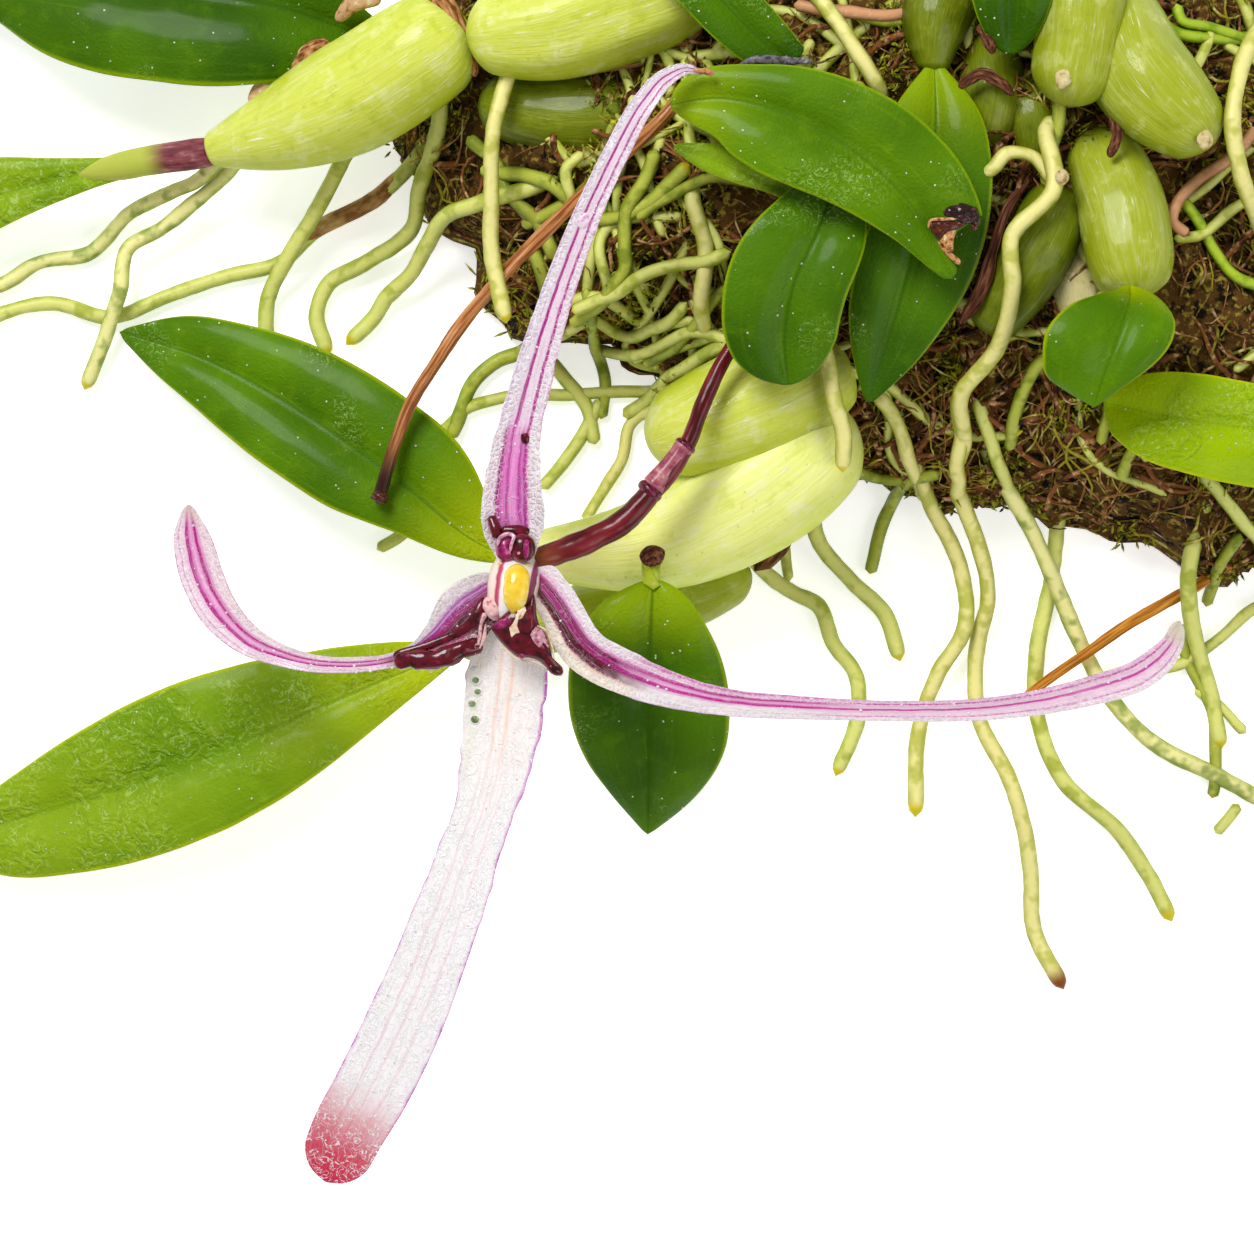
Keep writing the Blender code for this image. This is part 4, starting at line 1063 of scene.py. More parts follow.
@dataclass
class Pseudobulbs:
    """All the pseudobulbs of the plant, and the small old ones between them."""

    bulbs: tuple[Bulb, ...] = BULBS
    small: tuple[Bulb, ...] = SMALL_BULBS

    def build(self) -> None:
        """Build and dress each pseudobulb; the large ones stand in place of their plain solids."""
        finishes = {tone: tone.value.dress() for tone in BulbTone}
        for bulb in self.bulbs + self.small:
            piece = Skin().add(bulb.rings()).finish(bulb.name + "_flesh", finishes[bulb.tone])
            if bulb in self.bulbs:
                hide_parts(bulb.name)


# ---- roots and stems

class RootTone(Enum):
    """How an aerial root looks: dry and cream, green, banded with dark green, in the shade, or brown."""

    CREAM = RootFinish("cream")
    GREEN = RootFinish("green", "#E2E480", "#94A41C", "#A0AE20", "#D8C81A")
    BANDED = RootFinish("banded", "#F4F0A0", "#9CAA1C", "#6E8E0C", "#D8C81A")
    BROWN_TIP = RootFinish("brown_tipped", tip="#8A4A0E", tip_start=0.975)
    OLIVE = RootFinish("olive", "#B8C048", "#66780C", "#6E8210", "#B8AA18")
    VIVID = RootFinish("vivid", "#B4CC34", "#5E8404", "#6C9606", "#C8C81A")
    TAN = RootFinish("tan", "#D8A074", "#9A6238", "#B07A4C", "#8A5A34")


@dataclass(frozen=True)
class Strand:
    """A root or stem: a round strand along a path.

    swell and lumps are shares of the radius; sway is in millimetres, and stops where the strand comes
    down to the floor, below the height rest.
    """

    name: str
    tone: RootTone
    path: Rows
    radii: Row = (1.2, 1.2, 1.2)
    seed: int = 1
    swell: float = 0.10
    lumps: float = 0.05
    sway: float = 0.18
    rest: float = 2.5

    def rings(self, around: int, step: float = 0.5) -> Array:
        """Work out the strand's skin.

        The radius is the row's radius with slow random swells and small lumps, and it closes at the
        far end as a half circle. The course sways a little to either side of the path.

        Args:
            around: Points round each ring.
            step: How far apart the rings are.

        Returns:
            Rings of shape (along, around, 3).
        """
        spine = smooth_rows(self.path, 400)
        length = np.linalg.norm(np.diff(spine, axis=0), axis=1).sum()
        along = max(int(length / step), 12)
        tip = self.radii[-1] * 0.9
        spine = smooth_rows(self.path, along)
        end = spine[-1] + unit(spine[-1] - spine[-2]) * tip * 0.8
        spine = np.vstack((spine, end))
        s = np.linspace(0, 1, along + 1)
        away = np.linalg.norm(spine - end, axis=1)
        close = np.sqrt(1 - (1 - np.clip(away / (2.2 * tip), 0.0, 1)) ** 2)
        radius = read_row(self.radii, s) * np.maximum(close, 0.05)
        sway = np.stack([noise(spine, 7.0, self.seed + n) for n in (0, 1, 2)], axis=-1) * self.sway
        sway *= ease(0, 0.08, s)[:, None] * (spine[:, 2:3] > self.rest)
        rings = tube(spine + sway, radius[:, None], around)
        swell = 1 + self.swell * noise(rings, 3.5, self.seed + 5)
        swell = swell + self.lumps * noise(rings, 1.1, self.seed + 6)
        return tube(spine + sway, radius[:, None] * swell, around)


ROOTS: tuple[Strand, ...] = (
    Strand("crossing_root", RootTone.CREAM,
        ((-63.5, 12, 27.5), (-65.5, 5, 28.5), (-66, -4.5, 27), (-66, -13, 25), (-64, -22.5, 24.5)), seed=3),
    Strand("far_left_root", RootTone.BANDED,
        ((-105.5, 2, 11.5), (-109.5, -1.5, 8), (-113.5, -3, 6), (-120, -6, 3.5), (-126, -11.5, 1.5),
         (-133.5, -13, 1.5), (-140, -16.5, 1.5), (-146, -16, 1.5)), (1.1, 1.1, 1.1), seed=11),
    Strand("left_hook_root", RootTone.BANDED,
        ((-102, 3, 10.5), (-106.5, -1.5, 8), (-111.5, -5.5, 6.2), (-115.5, -8.5, 5.4), (-120, -11, 5),
         (-121.3, -17.5, 5.2), (-123.5, -24, 3.4), (-126.5, -31, 1.5)), (1.1, 1.1, 1.15), seed=21),
    Strand("left_short_root", RootTone.GREEN,
        ((-86.5, 4, 12.5), (-89, -0.5, 10.5), (-92.5, -6.5, 8), (-96.5, -12.5, 5.5), (-99.5, -18, 2.5),
         (-100, -24.5, 1.5)), seed=31),
    Strand("long_left_root", RootTone.GREEN,
        ((-66, 12.5, 12), (-69.5, 10, 12), (-75, 4.5, 9.5), (-83, -3.5, 6), (-92, -8, 3.2), (-98, -13, 1.5),
         (-106, -15, 1.5), (-113.5, -17.5, 1.5), (-123.5, -21, 1.5), (-131, -19, 1.5), (-139, -20.5, 1.5),
         (-144.5, -23.5, 1.5)), (1.15, 1.1, 1.1), seed=41),
    Strand("fork_root", RootTone.GREEN,
        ((-73.5, 13, 18), (-73.7, 7, 15.5), (-75, 2, 12.5), (-77, -3, 9.5), (-78, -8, 6.5), (-85, -13, 3),
         (-91, -16.5, 1.6), (-92.5, -20.5, 1.5), (-91, -26, 1.5)), seed=51),
    Strand("wavy_root", RootTone.GREEN,
        ((-53, 0, 20), (-60, -3.5, 21), (-68, -5.5, 17), (-73, -7, 12.5), (-76, -11, 8), (-78.5, -15, 5),
         (-82, -18, 2.5), (-84, -21, 1.6), (-87.5, -24.5, 1.5)), seed=61),
    Strand("middle_root", RootTone.CREAM,
        ((-36, 1, 24), (-37.3, -6, 29.5), (-35.5, -12.5, 29), (-36, -20, 27), (-35, -25, 19)), seed=71),
    Strand("leaf_root", RootTone.CREAM,
        ((-21.5, -19.5, 22), (-19.8, -23.5, 31), (-18.5, -28, 33.4), (-17.5, -34, 32.8), (-16, -39, 30.6),
         (-16, -44, 29)), seed=81),
    Strand("lower_root", RootTone.CREAM,
        ((-10.5, -30.5, 20), (-6, -39.5, 15.5), (-2.5, -48, 8.5), (2.5, -58.5, 5), (3, -67, 4.5),
         (-1, -74, 3), (-3.5, -82, 1.5), (-4, -94, 1.5)), seed=91),
    Strand("longest_root", RootTone.BROWN_TIP,
        ((15.5, 5, 30), (12.5, 3.5, 36), (13, -5.5, 40), (7, -12.5, 40.5), (7.5, -19.5, 38.8), (6, -27, 34.5),
         (1, -33.5, 28), (2, -40, 20), (1, -44.5, 13.5), (4.5, -54, 8.5), (6.5, -63, 5), (5, -70, 2),
         (5.5, -80.5, 1.5), (10, -89.5, 1.5), (13, -102.5, 1.5), (13.5, -111.5, 1.5), (17.5, -119.5, 1.5)),
        seed=101),
    Strand("slant_root", RootTone.BANDED,
        ((2.5, -34, 20), (7.5, -44.5, 13), (14, -55, 7), (20, -68.5, 2), (24, -76, 1.5), (32, -84.5, 1.5),
         (39, -88, 1.5), (48.5, -93, 1.5)), seed=111),
    Strand("rear_root", RootTone.GREEN,
        ((17, -50, 3.5), (16, -60, 1.5), (14, -70, 1.5), (14, -80, 1.5), (17.5, -89, 1.5), (26, -97, 1.5),
         (30.5, -103.5, 1.5), (33.5, -109.5, 1.5)), seed=121),
    Strand("front_short_root", RootTone.GREEN,
        ((-20, -47, 9.5), (-18.5, -54, 6), (-13.5, -60, 3), (-8.5, -65, 1.5), (-6.5, -71, 1.5)), seed=131),
    Strand("front_long_root", RootTone.GREEN,
        ((-28.5, -56.3, 5.6), (-26, -59, 3.4), (-22.5, -61.5, 2), (-18.5, -63.5, 1.6), (-16, -69.5, 1.5),
         (-13, -73.5, 1.5), (-12.5, -80, 1.5), (-15.5, -88, 1.5)), seed=141),
    Strand("right_front_root", RootTone.GREEN,
        ((38.5, -44, 18), (36.5, -52, 13), (35.5, -60, 8.5), (37, -68.5, 4), (39.5, -76, 1.5),
         (41, -84, 1.5)), seed=151),
    Strand("crown_root", RootTone.CREAM,
        ((-25, 30, 20), (-21, 24.5, 32.5), (-15.5, 16, 36.3), (-11.8, 10.3, 36.4), (-10, 7, 29)), seed=161),
    Strand("edge_root", RootTone.CREAM,
        ((48, 27, 14), (45, 21, 32), (39.5, 12, 40), (37.8, 4, 42.3), (39, -2.5, 41.5), (43.5, -12, 34),
         (48, -18, 18)), seed=171),
)

DRY = StrandFinish("dried_flower_stalk", "#8A4A22", "#C8844A", "#F0C09A", 0.4, 0.3, end="#34140C",
                   end_start=0.84)
ORANGE = StrandFinish("dried_orange_stem", "#9A5A12", "#CF8420", "#E8B45C", 0.5)
RHIZOME = StrandFinish("brown_papery_rhizome", "#3A200E", "#6E4620", "#A88250", 0.8)
PURPLE = StrandFinish("fresh_purple_stalk", "#48060E", "#6E141E", "#8A2C34", 0.3, 0.25, 8.0, "#A05C2C", 0.9)

STEMS: tuple[tuple[Strand, StrandFinish, str], ...] = (
    (Strand("old_flower_stem", RootTone.TAN,
        ((-37, 13, 26), (-40, 7.5, 30), (-47.5, 0, 28.5), (-56, -8, 25), (-65.5, -17.5, 22.5),
         (-72, -25.5, 21), (-77, -33.5, 20), (-80, -40.5, 19.5), (-82.5, -48.5, 19)),
        (1, 1, 1, 1, 1.05, 0.9, 0.95), seed=201), DRY, "dry_stem"),
    (Strand("orange_stem", RootTone.TAN,
        ((54, -46, 7), (50, -52, 5), (41.5, -58, 4.6), (27, -66.5, 4.6), (12, -77, 4.6)), (0.9, 0.9, 0.7),
        seed=211), ORANGE, "dry_stem"),
    (Strand("upper_rhizome", RootTone.TAN,
        ((-38, 22, 13), (-50, 20, 15.3), (-61, 18.5, 16), (-67, 18, 19.5), (-69.2, 18, 23.3)),
        (2.4, 2.4, 2.2), seed=221), RHIZOME, "rhizome"),
    (Strand("lower_rhizome", RootTone.TAN, ((-13, -36, 8), (-20, -47, 6.5), (-27, -57.3, 8)), (2.4, 2.4, 2.2),
        seed=231), RHIZOME, "rhizome"),
    (Strand("flower_stalk", RootTone.TAN,
        ((-20, -10, 26), (-22.5, -13.5, 30), (-27.5, -20, 33), (-31.5, -26.5, 34.5), (-35.5, -34, 35.5),
         (-38.5, -41.5, 35.5), (-42.5, -47, 35.5), (-47.5, -52, 35.8), (-52, -54.5, 36),
         (-60.6, -57.9, 37.4)), (1, 1, 1, 1.05, 1.1, 1.2, 1.55, 1.75, 1.8, 1.6), seed=0), PURPLE,
     "purple_stem"),
)


@dataclass
class Strands:
    """The aerial roots, stems and rhizomes."""

    roots: tuple[Strand, ...] = ROOTS
    stems: tuple[tuple[Strand, StrandFinish, str], ...] = STEMS
    root_sides: int = 14
    stem_sides: int = 20

    def build(self) -> None:
        """Build and dress each strand in place of its plain solid."""
        finishes = {tone: tone.value.dress() for tone in {root.tone for root in self.roots}}
        for root in self.roots:
            self.piece(root, finishes[root.tone], root.name + "_velamen", "root", self.root_sides)
        for strand, finish, slot in self.stems:
            self.piece(strand, finish.dress(), strand.name + "_skin", slot, self.stem_sides)

    def piece(self, strand: Strand, finish: bpy.types.Material, name: str, slot: str, around: int) -> None:
        """Build and dress one strand in place of its plain solid.

        Args:
            strand: Its shape.
            finish: Its material.
            name: The piece's name.
            slot: Not used.
            around: Points round it.
        """
        made = Skin().add(strand.rings(around)).finish(name, finish)
        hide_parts(strand.name)


# ---- root mass

MASS_OUTLINE: Rows = (
    (0, 70), (30, 67), (60, 60), (90, 59), (120, 60), (150, 76), (170, 82), (178, 81), (184, 79), (187, 75),
    (189, 71), (197, 69), (201, 68), (204, 61), (207, 56), (215, 53), (226, 57), (238, 53), (251, 47),
    (262, 47), (276, 50), (285, 53), (293, 57), (299, 63), (304, 73), (317, 76), (332, 73), (346, 71),
)

Course = tuple[RootTone, float, float, tuple[tuple[float, float], ...]]

COURSES: tuple[Course, ...] = (
    (RootTone.CREAM, 0.9, 1.2,
     ((-37.5, -34), (-43, -35), (-46, -37), (-47.5, -42), (-50, -46.5), (-53, -51))),
    (RootTone.GREEN, 0.9, 0.6,
     ((-75, -38.5), (-70, -34.5), (-65.5, -33), (-55, -32.5), (-46, -32), (-37.5, -32.5))),
    (RootTone.OLIVE, 1.1, 0.8,
     ((-60, -12), (-58.5, -23.5), (-62, -26), (-66, -27.5), (-70, -32), (-72.5, -39))),
    (RootTone.GREEN, 0.95, 0.4, ((-50.5, -33), (-53.5, -39), (-59.5, -46.5))),
    (RootTone.OLIVE, 1, 1.6,
     ((-42.5, 1.5), (-44, -2.5), (-46.5, -7), (-47, -12), (-47.2, -15.5), (-50, -19.5), (-55, -23))),
    (RootTone.GREEN, 1, 2.4, ((-32, -13.5), (-37.5, -15), (-43.5, -16.5), (-49, -19.5), (-54.5, -21))),
    (RootTone.GREEN, 1.05, 1.4,
     ((-29, -23), (-32.5, -26), (-36.5, -28), (-40.5, -30.5), (-44, -33.5), (-47.5, -35.5))),
    (RootTone.GREEN, 0.9, 0.4, ((-77, -50), (-80, -53), (-83.5, -55))),
    (RootTone.GREEN, 0.8, 0.2, ((-24, -50), (-23.5, -55), (-22.5, -60))),
    (RootTone.OLIVE, 0.95, 0.6, ((-1, -44.5), (-5.5, -45.5), (-8, -49.5), (-10.5, -59))),
    (RootTone.OLIVE, 0.9, 0.6, ((-15.5, -42.5), (-11, -44.5), (-5.5, -45.5))),
    (RootTone.GREEN, 1, 1, ((36, -45), (38.5, -47), (42, -50.5), (44.5, -53.5), (49, -59))),
    (RootTone.GREEN, 0.9, 0.2, ((52, -60), (46, -64.5), (36.5, -71.5), (24.5, -74))),
    (RootTone.OLIVE, 0.9, 0.2, ((35, -66), (36.5, -72), (40, -80), (40.5, -88), (40, -92))),
    (RootTone.GREEN, 0.8, 0.2, ((37, -76), (41, -79), (45, -82.5))),
    (RootTone.OLIVE, 0.9, 0.5, ((42.5, -53), (40, -58), (39, -63.5))),
    (RootTone.GREEN, 0.8, 0.2, ((44, -93), (40.5, -97.5))),
    (RootTone.CREAM, 1, 5, ((3.5, -3.5), (5, -2.5), (7, -0.3), (10.5, -0.6), (12.5, -3.5), (13.6, -5.2))),
    (RootTone.OLIVE, 1, 3.5, ((13.5, 10), (14, 5), (12.5, -1.5), (12.5, -5))),
    (RootTone.TAN, 0.85, 2.4, ((43, 4), (38.5, -0.5), (34, -3.5), (31.3, -7), (30.8, -9.6), (33, -11.2))),
    (RootTone.GREEN, 0.8, 1.4, ((30.5, -11.5), (35.5, -10.5), (38.5, -8), (43, -5.5))),
    (RootTone.VIVID, 0.85, 1.2, ((32, -5.5), (35, -9), (37.5, -13.5), (40.5, -17), (44, -18.5))),
    (RootTone.VIVID, 0.85, 1.8, ((29, 19.5), (32, 17.5), (38, 17), (43, 17.8))),
    (RootTone.VIVID, 0.8, 2.4, ((31.5, 22), (32.5, 19.5), (36, 18.5), (43, 17))),
    (RootTone.GREEN, 0.8, 1.8, ((36.5, 18), (34.5, 13.5), (33.5, 11), (34.3, 7.5))),
    (RootTone.GREEN, 0.75, 1.4, ((38, 16.5), (42, 14.5), (45, 13))),
    (RootTone.OLIVE, 0.8, 1.4, ((-15.5, 20), (-8, 19), (-1, 22))),
    (RootTone.TAN, 0.9, 2.2, ((-23, 21.5), (-15, 20), (-9, 19.3), (-2, 22))),
    (RootTone.OLIVE, 0.95, 1, ((15, -27.5), (11, -30.5), (9.5, -34.5), (8.5, -41.5))),
    (RootTone.OLIVE, 0.9, 1, ((28, -37.5), (25.5, -41.5), (24.5, -45.5))),
    (RootTone.GREEN, 0.9, 1.6, ((-51.5, -9), (-54.5, -4.5), (-55.5, -1), (-53, 1))),
    (RootTone.OLIVE, 1.1, 1.2, ((-68, -0.5), (-58, -3), (-50.5, -8.5), (-43, -6), (-38, -1))),
    (RootTone.OLIVE, 1, 1, ((-62, -9), (-56, -6.5), (-50.5, -2), (-47, 3))),
    (RootTone.OLIVE, 1, 1, ((-70, 4), (-66, 0.5), (-64, -4), (-60, -8), (-57, -14))),
    (RootTone.GREEN, 0.95, 1.4, ((-38, -20), (-42, -23.5), (-48.5, -24), (-52, -22.5), (-57, -24.5))),
    (RootTone.OLIVE, 0.9, 1.2, ((-52.5, -18), (-51.5, -25), (-50, -30), (-50.5, -36))),
    (RootTone.GREEN, 1.05, 0.8, ((-58, -27), (-56, -30), (-53, -34), (-51, -40))),
    (RootTone.GREEN, 0.9, 2, ((-31.5, -26), (-37.5, -24.5), (-44, -27), (-51, -26))),
    (RootTone.OLIVE, 0.9, 1.2, ((-28, -16), (-33, -19), (-38.5, -25), (-44, -28.5))),
    (RootTone.OLIVE, 0.9, 1.2, ((-45.5, -8.5), (-40.5, -5), (-35, -3), (-29, -4))),
    (RootTone.OLIVE, 0.9, 1, ((18, -27), (22, -34), (21.5, -41))),
    (RootTone.CREAM, 1.1, 1.3, ((-11, -33), (-8.6, -36.5), (-6.5, -40), (-5, -44), (-2.8, -48.2))),
    (RootTone.CREAM, 1.15, 1.5, ((4.5, -29.5), (1, -34), (1.8, -39.5), (1.1, -44.5), (2.2, -49))),
    (RootTone.GREEN, 1, 1.3, ((3.2, -34), (5.1, -38.3), (8.2, -45), (11, -50))),
)


@dataclass
class RootMass:
    """The lump of fern fibre, moss and fine roots that the plant grows on."""

    height: float = 31.5
    lift: float = 1.8
    edge_waves: tuple[tuple[float, float, float], ...] = ((0.8, 11, 1), (0.6, 19, 0), (0.7, 43, 0))
    lumps: tuple[tuple[float, float, int], ...] = ((1.6, 6.0, 31), (1.5, 2.6, 32), (0.9, 1.2, 33))
    rim: float = 0.9
    course_step: float = 0.55
    fibre_up: Array = field(default_factory=lambda: np.array((0.1, 0.2, 1.0)))
    moss_up: Array = field(default_factory=lambda: np.array((0.83, 0.41, 0.2)))
    fine_fibres: int = 1100
    straw_fibres: int = 820
    thick_fibres: int = 520
    tufts: int = 5300
    rootlets: int = 76
    seed: int = 77

    def reach(self, turn: Array) -> Array:
        """Work out the outline: its table's radius plus a few sine waves, which make its ragged edge.

        Args:
            turn: Angles.

        Returns:
            The radius at each of them.
        """
        degrees, radii = (np.array(row, float) for row in zip(*MASS_OUTLINE))
        edge = np.interp(np.degrees(turn) % 360, degrees, radii, period=360)
        for height, count, start in self.edge_waves:
            edge = edge + height * np.sin(count * turn + start)
        return edge

    def place(self, turn: Array, share: Array) -> tuple[Array, Array]:
        """Where on the floor an angle and a share of the outline radius lie, as x and y."""
        return self.reach(turn) * share * np.cos(turn), self.reach(turn) * share * np.sin(turn)

    def keep_in(self, x: Array, y: Array, edge: float | Array) -> tuple[Array, Array]:
        """Draw places that lie past a share of the outline radius back to it."""
        far = np.hypot(x, y) / (self.reach(np.arctan2(y, x)) * edge)
        return x / np.maximum(far, 1), y / np.maximum(far, 1)

    def crown(self, share: Array, x: Array, y: Array) -> Array:
        """Height of the lump at a share of its outline radius."""
        dome = self.height * np.maximum(1 - share**2.2, 0) ** 0.6 + self.lift
        return dome + 0.9 * np.sin(0.32 * x + 1) * np.cos(0.27 * y) + 0.6 * np.sin(0.55 * y + 0.3 * x)

    def surface(self, x: Array, y: Array) -> Array:
        """Height of the lump over the floor at a place, and nothing outside it."""
        share = np.hypot(x, y) / self.reach(np.arctan2(y, x))
        return self.crown(np.clip(share, 0, 1), x, y) * ease(1.04, 1.0, share)

    def body(self) -> Skin:
        """Work out the lump's skin.

        Rings run from the crown over the dome to the rim and back under the flat base. A point is the
        outline radius times the ring's share, at the dome's height, pushed in and out by random lumps
        of three sizes, which die away at the base.

        Returns:
            Its skin.
        """
        along, around = 130, 280
        u = np.linspace(0, 1, along)
        rim = self.rim
        share = np.where(u < rim, np.sin(0.5 * math.pi * np.minimum(u / rim, 1)), 1 - (u - rim) / 0.1 * 0.98)
        turn = np.arange(around) / around * 2 * math.pi
        radius = self.reach(turn)[None, :] * share[:, None] * np.where(u > rim, 0.985, 1)[:, None]
        x, y = radius * np.cos(turn), radius * np.sin(turn)
        z = np.where(u[:, None] < rim, self.crown(np.broadcast_to(share[:, None], x.shape), x, y), 0.0)
        rings = np.stack((x, y, z), axis=-1)
        wild = ease(0.0, 5.0, z)
        rough = sum(height * noise(rings, size, seed) for height, size, seed in self.lumps)
        out = unit(np.stack((x, y, 20 * np.ones_like(x)), axis=-1))
        rings = rings + out * (wild * rough - 0.9 * wild)[..., None]
        rings[..., 2] = np.maximum(rings[..., 2], 0.0)
        return Skin().add(rings)

    def litter(self, rng: np.random.Generator, count: int, long: tuple[float, float], thick: float,
               proud: float, points: int = 7) -> Skin:
        """Lay many short bent fibres on the lump.

        Each fibre starts at a random place on the surface and runs its length in a random direction
        with a random bend. Its height over the surface is a half sine of its length, so both ends
        dip back in, and it turns back towards the middle where it would leave the lump.

        Args:
            rng: Where the draws come from.
            count: How many fibres.
            long: The shortest and the longest.
            thick: Their usual radius.
            proud: How high the proudest one arches.
            points: Points along each.

        Returns:
            The skins of all of them.
        """
        turn = rng.uniform(0, 2 * math.pi, count)
        share = np.sqrt(rng.uniform(0.0, 1.0, count)) * 0.99
        x0, y0 = self.place(turn, share)
        heading, bend = rng.uniform(0, 2 * math.pi, count), rng.normal(0, 0.9, count)
        length = rng.uniform(*long, count)
        s = np.linspace(0, 1, points)[None, :]
        angle = heading[:, None] + bend[:, None] * s + 0.5 * np.sin(5 * s + heading[:, None] * 3)
        step = length[:, None] / points
        x = x0[:, None] + np.cumsum(np.cos(angle) * step, axis=1)
        y = y0[:, None] + np.cumsum(np.sin(angle) * step, axis=1)
        x, y = self.keep_in(x, y, 0.92 + 0.08 * (heading % 1.0)[:, None])
        over = rng.uniform(0.1, proud, count)[:, None] * np.sin(math.pi * s) - 0.7
        z = np.maximum(self.surface(x, y) + over, 0.4)
        width = thick * rng.uniform(0.6, 1.5, count)[:, None] * (1 - 0.6 * s)
        return Skin().add(tube(np.stack((x, y, z), axis=-1), width[..., None], 4, up=unit(self.fibre_up)))

    def moss(self, rng: np.random.Generator) -> Skin:
        """Strew short pointed moss leaves in cushions.

        A leaf is a three-sided spindle. Places are kept where a slow random field is high, so that the
        leaves gather in cushions, and each leaf leans its own way.

        Args:
            rng: Where the draws come from.

        Returns:
            The skins of all of them.
        """
        count = self.tufts * 3
        turn = rng.uniform(0, 2 * math.pi, count)
        share = np.sqrt(rng.uniform(0.02, 1.0, count))
        x, y = self.place(turn, share)
        cushion = noise(np.stack((x, y, 0 * x), axis=-1), 9.0, 41) + 0.5 * share**3
        keep = np.argsort(-cushion)[:self.tufts]
        x, y, cushion = x[keep], y[keep], cushion[keep]
        root = np.stack((x, y, self.surface(x, y) - 0.6 + 1.2 * cushion), axis=-1)
        lean = unit(rng.normal(0, 0.7, (self.tufts, 3)) + UP)
        s = np.linspace(0, 1, 3)[None, :, None]
        path = root[:, None, :] + lean[:, None, :] * rng.uniform(1.0, 2.8, self.tufts)[:, None, None] * s
        width = np.array((0.12, 0.26, 0.02))[None, :, None] * np.ones((self.tufts, 1, 1))
        return Skin().add(tube(path, width, 3, up=unit(self.moss_up)))

    def creep(self, radius: float, lift: float, course: tuple[tuple[float, float], ...], seed: int) -> Array:
        """Lead one root over the lump: only its course is given, and its height follows the surface.

        The height is smoothed along the course by a running mean, and the radius closes at both ends
        as a half circle.

        Args:
            radius: The root's radius.
            lift: How far its middle lies over the surface.
            course: The (x, y) points it passes over.
            seed: Which of the random fields bends it.

        Returns:
            Its rings.
        """
        flat = smooth_rows(np.array(course, float), 400)
        along = max(int(np.linalg.norm(np.diff(flat, axis=0), axis=1).sum() / self.course_step), 14)
        flat = smooth_rows(np.array(course, float), along)
        ground = self.surface(flat[:, 0], flat[:, 1])
        wide = np.pad(ground, 4, mode="edge")
        z = np.maximum(np.convolve(wide, np.ones(9) / 9, mode="valid") + lift, radius + 0.25)
        path = np.column_stack((flat, z))
        sway = np.stack([noise(path, 5.0, seed + n) for n in (0, 1, 2)], axis=-1)
        path += sway * np.array((0.45, 0.45, 0.15))
        s = np.linspace(0, 1, along)
        reach = self.course_step * along / radius
        ends = 1 - np.clip(np.minimum(s, 1 - s) * reach, 0, 1)
        width = radius * np.maximum(np.sqrt(1 - ends**2), 0.08) * (1 + 0.10 * noise(path, 3.0, seed + 5))
        path[:, 2] = np.maximum(path[:, 2], radius * 1.05)
        return tube(path, width[:, None], 12)

    def tangle(self, rng: np.random.Generator) -> Skin:
        """Run small olive roots over the lump, each on a wandering path close to the surface.

        Args:
            rng: Where the draws come from.

        Returns:
            The skins of all of them.
        """
        points = 44
        s = np.linspace(0, 1, points)[None, :]
        turn = np.concatenate((rng.uniform(2.6, 3.9, self.rootlets // 2),
                               rng.uniform(0, 6.28, self.rootlets // 2)))
        share = rng.uniform(0.2, 0.85, len(turn))
        heading = rng.uniform(0, 2 * math.pi, len(turn))
        length = rng.uniform(14, 40, len(turn))
        waves = sum(rng.normal(0, 0.7, len(turn))[:, None] / k
                    * np.sin(k * 2.1 * s + rng.uniform(0, 6, len(turn))[:, None]) for k in (1, 2, 3, 5))
        step = length[:, None] / points
        x0, y0 = self.place(turn, share)
        x = x0[:, None] + np.cumsum(np.cos(heading[:, None] + waves) * step, 1)
        y = y0[:, None] + np.cumsum(np.sin(heading[:, None] + waves) * step, 1)
        x, y = self.keep_in(x, y, 0.97)
        ends = np.sqrt(np.clip(np.minimum(s, 1 - s) * 30, 0.02, 1))
        radius = rng.uniform(0.5, 0.95, len(turn))[:, None] * ends
        z = np.maximum(self.surface(x, y) + 0.1 + 0.6 * np.sin(7 * s + heading[:, None]), 1.2)
        return Skin().add(tube(np.stack((x, y, z), axis=-1), radius[..., None], 8))

    def build(self) -> None:
        """Build the lump, its fibres, its moss and the small roots over it."""
        rng = np.random.default_rng(self.seed)
        peat = LitterFinish("fern_fibre_peat", "#120A02", "#644418", "#A8923A", 2.6, 0.8).dress()
        brown = LitterFinish("brown_fern_fibre", "#50280E", "#B47C3E", "#F4D498", 5.0).dress()
        straw = LitterFinish("straw_coloured_fibre", "#5E560C", "#B2A42E", "#F0E680", 6.0).dress()
        thick = LitterFinish("thick_brown_fibre", "#3A1C0C", "#965E30", "#E8B480", 4.0).dress()
        moss = LitterFinish("cushion_moss", "#626A04", "#AEB018", "#E4DE58", 4.0).dress()
        lump = self.body().finish("root_mass_peat", peat)
        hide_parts("root_mass")
        for coat, skin, finish in (
                ("fine_fibres", self.litter(rng, self.fine_fibres, (5, 18), 0.17, 2.4), brown),
                ("straw_fibres", self.litter(rng, self.straw_fibres, (4, 14), 0.22, 2.6), straw),
                ("thick_fibres", self.litter(rng, self.thick_fibres, (6, 22), 0.5, 2.6, 11), thick),
                ("moss", self.moss(rng), moss)):
            skin.finish("root_mass_" + coat, finish)
        self.tangle(rng).finish("root_mass_small_roots", RootTone.GREEN.value.dress())
        for tone in RootTone:
            skin = Skin()
            for index, (own, radius, lift, course) in enumerate(COURSES):
                if own is tone:
                    skin.add(self.creep(radius, lift, course, 300 + index))
            if skin.points:
